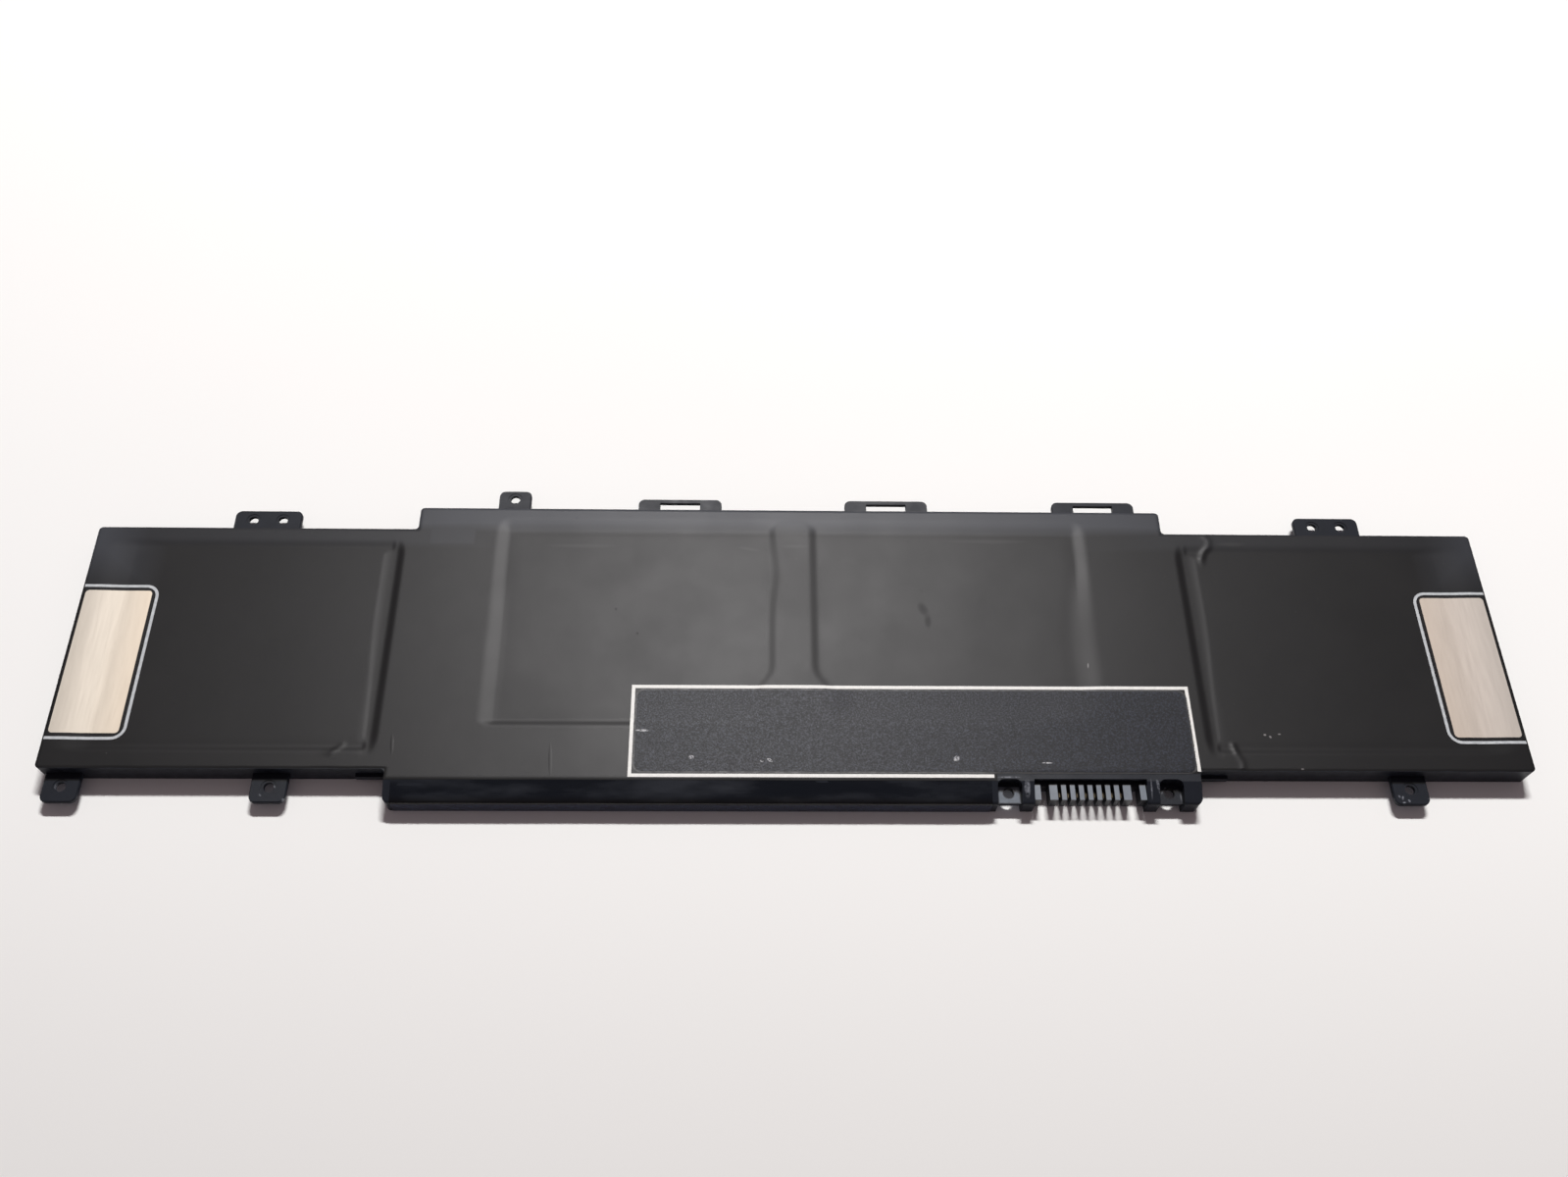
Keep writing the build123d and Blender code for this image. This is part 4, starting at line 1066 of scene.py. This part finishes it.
def film_shape(x, y, rim):
    """Points of the film: rounded corners, a slightly uneven cut edge and the relief over the cells."""
    top = film_top(x, y)
    under = np.where(rim, DECK_TOP, top - FILM)
    edge = 1.0 - smooth(from_edge(x, y) / EDGE_WAVE_RUN)
    uneven = EDGE_WAVE * (0.5 + 0.5 * rough(x, 0 * y, EDGE_WAVE_LENGTH, EDGE_WAVE_SEED))
    waved = (np.abs(y) > WING_FAR - EDGE_WAVE_RUN) & (y > FILM_STEP_NEAR)
    y = y - np.sign(y) * uneven * edge * waved
    for sx in (-1, 1):
        x, y = round_corner(x, y, (sx * WING_END, WING_FAR, sx, 1), FILM_CORNER)
        x, y = round_corner(x, y, (sx * WING_END, -WING_FAR, sx, -1), FILM_CORNER)
        x, y = round_corner(x, y, (sx * MIDDLE_END, MIDDLE_FAR, sx, 1), FILM_CORNER)
    return x, y, top, under


def top_skin():
    """The film over the whole top."""
    piece = sheet("top_skin", film_lines_x(), film_lines_y(), in_film_plan, film_shape)
    piece.data.materials.append(black_film())
    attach(piece, "root")
    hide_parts("top_film")


def label_shape(place, radius, height):
    """Points of a label that lies on the film, with its own upper face."""
    x0, x1, y0, y1 = place

    def shape(x, y, rim):
        top = height(x, y)
        for corner in ((x0, y0, -1, -1), (x1, y0, 1, -1), (x1, y1, 1, 1), (x0, y1, -1, 1)):
            x, y = round_corner(x, y, corner, radius)
        return x, y, top, film_top(x, y) - INK_SUNK

    return shape


def label_lines(start, end, radius, step):
    """Grid lines across a label, closer at its rounded corners."""
    fine = radius / LABEL_CORNER_STEPS
    return grid_lines([(start, fine), (start + radius, step), (end - radius, fine), (end, step)])


def everywhere(x, y):
    """Keeps every cell of a grid."""
    return np.full(x.shape, True)


def rating_height(x, y):
    """The rating label's face, which bridges the steps of the film."""
    return np.maximum(film_top(x, y, RATING_STIFFNESS), film_top(x, y)) + LABEL - INK


def rating_label():
    """The black grained label beside the connector."""
    place = (label_low.x, label_high.x, label_low.y, label_high.y)
    xs = label_lines(place[0], place[1], RATING_ROUND, RATING_STEP)
    ys = label_lines(place[2], place[3], RATING_ROUND, LINE_STEP)
    shape = label_shape(place, RATING_ROUND, rating_height)
    piece = sheet("rating_label_face", xs, ys, everywhere, shape)
    piece.data.materials.append(grained_label())
    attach(piece, "root")
    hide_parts("rating_label")


def end_height(x, y):
    """An end label's face on the film."""
    return film_top(x, y) + LABEL - INK


def end_label(side, material):
    """A satin label at the end of a wing."""
    low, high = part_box(side + "_end_label")
    xs = label_lines(low.x, high.x, END_LABEL_ROUND, LINE_STEP)
    ys = label_lines(low.y, high.y, END_LABEL_ROUND, LINE_STEP)
    shape = label_shape((low.x, high.x, low.y, high.y), END_LABEL_ROUND, end_height)
    piece = sheet(side + "_end_label_face", xs, ys, everywhere, shape)
    piece.data.materials.append(material)
    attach(piece, "root")
    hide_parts(side + "_end_label")


def printed(name, path, width, material):
    """A printed line on the film."""
    piece = ribbon(name, path, width)
    piece.data.materials.append(material)
    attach(piece, "root")


def rating_border():
    """The thin black line round the rating label's rounded edge."""
    away = BORDER_WIDTH / 2
    bend = RATING_ROUND
    x0, x1 = label_low.x - away + bend, label_high.x + away - bend
    y0, y1 = label_low.y - away + bend, label_high.y + away - bend
    start = ((x0 + x1) / 2, y0 - bend)
    path = [start]
    for cx, cy, turn in ((x1, y0, -0.5), (x1, y1, 0.0), (x0, y1, 0.5), (x0, y0, 1.0)):
        corner = arc(cx, cy, bend, turn * math.pi, (turn + 0.5) * math.pi)
        path += stepped([path[-1], corner[0]])[1:-1] + corner
    path += stepped([path[-1], start])[1:]
    printed("rating_border", path, BORDER_WIDTH, ink("black_ink", BLACK_INK))


def rating_outline():
    """The white outline round the rating label, left open beside the connector."""
    away = OUTLINE_GAP + OUTLINE_WIDTH / 2
    x0, x1 = label_low.x - away, label_high.x + away - OUTLINE_GAP / 2
    y0, y1 = TOP_NEAR + OUTLINE_NEAR_INSET, label_high.y + away
    start = (nose_high.x + OUTLINE_GAP, y0)
    end = (x1, FILM_STEP_NEAR + OUTLINE_GAP)
    path = stepped([start, (x0, y0), (x0, y1), (x1, y1), end])
    printed("rating_outline", path, OUTLINE_WIDTH, ink("white_ink", WHITE_INK))


def end_outline(side, sign, material):
    """The printed line that goes round three sides of an end label."""
    low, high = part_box(side + "_end_label")
    away = U_LINE_GAP + U_LINE_WIDTH / 2
    inner = (low.x if sign > 0 else -high.x) - away
    outer = WING_END - U_LINE_END_INSET
    bend = inner + U_LINE_ROUND
    y0, y1 = low.y - away, high.y + away
    path = stepped([(outer, y1), (bend, y1)])[:-1]
    path += arc(bend, y1 - U_LINE_ROUND, U_LINE_ROUND, math.pi / 2, math.pi)
    path += stepped([(inner, y1 - U_LINE_ROUND), (inner, y0 + U_LINE_ROUND)])[1:-1]
    path += arc(bend, y0 + U_LINE_ROUND, U_LINE_ROUND, math.pi, 1.5 * math.pi)
    path += stepped([(bend, y0), (outer, y0)])[1:]
    printed(side + "_end_outline", [(sign * x, y) for x, y in path], U_LINE_WIDTH, material)


def nose_profile():
    """The nose's outer face from the film's edge down the slope and the front, as y and z."""
    front = nose_low.y
    slope = np.array([front - TOP_NEAR, NOSE_SHOULDER - DECK_TOP])
    slope /= np.linalg.norm(slope)
    turn = math.atan2(-slope[0], -slope[1]) / 2
    back = NOSE_ROUND * math.tan(math.pi / 4 - turn / 2)
    start = np.array([TOP_NEAR, DECK_TOP])
    corner = np.array([front, NOSE_SHOULDER])
    upper = corner - slope * back
    lower = corner - np.array([0.0, back])
    bend = []
    for t in np.linspace(0.0, 1.0, NOSE_BEND_POINTS)[1:]:
        bend.append((1 - t) ** 2 * upper + 2 * t * (1 - t) * corner + t ** 2 * lower)
    foot = np.array([front, nose_low.z])
    fall = between(bend[-1], foot, NOSE_FRONT_POINTS)[1:]
    return np.array(between(start, upper, NOSE_SLOPE_POINTS) + bend + fall)


def nose_points(profile, stations):
    """Points of the nose's film at each station: the rippled outer face, then the inner face."""
    ahead = np.gradient(profile, axis=0)
    ahead /= np.linalg.norm(ahead, axis=1)[:, None]
    inward = np.stack([-ahead[:, 1], ahead[:, 0]], 1)
    inner = profile + inward * NOSE_TAPE
    share = np.linspace(0.0, 1.0, len(profile))
    points = []
    for x in stations:
        waves = [noise.noise(Vector((x / NOSE_WAVE_LENGTH, NOSE_WAVES * s, 0.0))) for s in share]
        deep = (0.5 + 0.5 * np.array(waves)) * NOSE_WAVE * np.sin(share * math.pi)
        outer = profile + inward * deep[:, None]
        points += [(x, y, z) for y, z in outer] + [(x, y, z) for y, z in inner]
    return points


def nose_skin():
    """The glossy film that wraps the nose, with shallow ripples."""
    profile = nose_profile()
    stations = np.arange(nose_low.x, nose_high.x + NOSE_STEP / 2, NOSE_STEP)
    count = len(profile)
    ring = list(range(count)) + list(range(2 * count - 1, count - 1, -1))
    faces = []
    for k in range(len(stations) - 1):
        near, far = 2 * count * k, 2 * count * (k + 1)
        for a, b in zip(ring, ring[1:] + ring[:1]):
            faces.append([near + a, near + b, far + b, far + a])
    last = 2 * count * (len(stations) - 1)
    for i in range(count - 1):
        faces.append([i, i + count, i + count + 1, i + 1])
        faces.append([last + i, last + i + 1, last + i + count + 1, last + i + count])
    piece = add_mesh("nose_skin", nose_points(profile, stations), faces)
    piece.data.materials.append(gloss_tape())
    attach(piece, "root")
    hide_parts("nose_tape")


def dress_solids():
    """Materials of the solids that stay as they are."""
    nickel = metal("nickel", *NICKEL)
    chip = moulded("chip_plastic", *CHIP_PLASTIC)
    ceramic = moulded("chip_ceramic", *CHIP_CERAMIC)
    kinds = {
        "frame": frame_plastic(),
        "connector_housing": connector_plastic(),
        # Contacts in brass darkened as painted shade
        "connector_contact": metal("contact_brass", *CONTACT_BRASS_PAINTED_SHADE),
        "bottom_film": moulded("underside_film", *UNDERSIDE_FILM),
        "protection_board": circuit_board(),
        "_strap": nickel,
        "_negative_tab": nickel,
        "_positive_tab": metal("aluminium_tab", *ALUMINIUM_TAB),
        "_cell": metal("pouch_foil", *POUCH_FOIL),
        "_cell_tape": moulded("clear_tape", *CLEAR_TAPE),
        "capacitor": ceramic,
        "thermistor": ceramic,
        "gauge_chip": chip,
        "transistor": chip,
        "safety_fuse": chip,
        "sense_resistor": chip,
    }
    for name in nodes:
        for ending, material in kinds.items():
            if name.rstrip("_0123456789").endswith(ending):
                paint(name, material)


# Stage

def floor():
    """A white table top."""
    sides = ((-1, -1), (1, -1), (1, 1), (-1, 1))
    corners = [(x * FLOOR_HALF, y * FLOOR_HALF, -FLOOR_DROP) for x, y in sides]
    piece = add_mesh("floor", corners, [[0, 1, 2, 3]])
    piece.data.materials.append(paper_floor())
    piece.visible_shadow = False


def lamp(name, place, size, power, colour, sheen):
    """A soft lamp aimed at the pack, for the sheen of its faces or for the plain light on them."""
    light = bpy.data.lights.new(name, "AREA")
    light.shape = "RECTANGLE"
    light.size, light.size_y = size
    light.energy = power
    light.color = colour
    piece = bpy.data.objects.new(name, light)
    piece.location = place
    piece.rotation_mode = "QUATERNION"
    piece.rotation_quaternion = (-Vector(place)).to_track_quat("-Z", "Y")
    piece.visible_glossy = sheen
    piece.visible_diffuse = not sheen
    bpy.context.scene.collection.objects.link(piece)


def sky():
    """Even soft light, seen as plain white."""
    world = bpy.data.worlds.new("studio")
    world.use_nodes = True
    bpy.context.scene.world = world
    tree = world.node_tree
    background = tree.nodes["Background"]
    seen = tree.nodes.new("ShaderNodeLightPath").outputs["Is Camera Ray"]
    tree.links.new(ramp_of(tree, seen, 0.0, 1.0, SKY_STRENGTH, 1.0), background.inputs["Strength"])
    tree.links.new(blended(tree, seen, SKY_COLOUR, WHITE), background.inputs["Color"])


def camera():
    """The photograph's viewpoint."""
    data = bpy.data.cameras.new("camera")
    data.lens = CAMERA_LENS
    data.sensor_width = CAMERA_SENSOR
    data.clip_start, data.clip_end = CAMERA_CLIP
    piece = bpy.data.objects.new("camera", data)
    turn = Matrix.Rotation(-CAMERA_YAW, 4, "Z")
    tip = Matrix.Rotation(math.pi / 2 - CAMERA_ELEVATION, 4, "X")
    roll = Matrix.Rotation(CAMERA_ROLL, 4, "Z")
    piece.matrix_world = Matrix.Translation(CAMERA_PLACE) @ turn @ tip @ roll
    bpy.context.scene.collection.objects.link(piece)
    bpy.context.scene.camera = piece


top_skin()
rating_label()
end_label("left", satin_label("satin_label_left", LEFT_SATIN_PAINTED_SHEEN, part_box("left_end_label")))
end_label("right", satin_label("satin_label_right", RIGHT_SATIN_PAINTED_SHEEN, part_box("right_end_label")))
rating_border()
rating_outline()
grey_ink = ink("grey_ink", GREY_INK)
end_outline("left", -1, grey_ink)
end_outline("right", 1, grey_ink)
nose_skin()
dress_solids()
floor()
lamp("sheen", SHEEN_PLACE, SHEEN_SIZE, SHEEN_POWER, SHEEN_COLOUR, True)
lamp("key", KEY_PLACE, KEY_SIZE, KEY_POWER, KEY_COLOUR, False)
lamp("under", UNDER_PLACE, UNDER_SIZE, UNDER_POWER, KEY_COLOUR, False)
sky()
camera()
bpy.context.scene.view_settings.view_transform = "Standard"
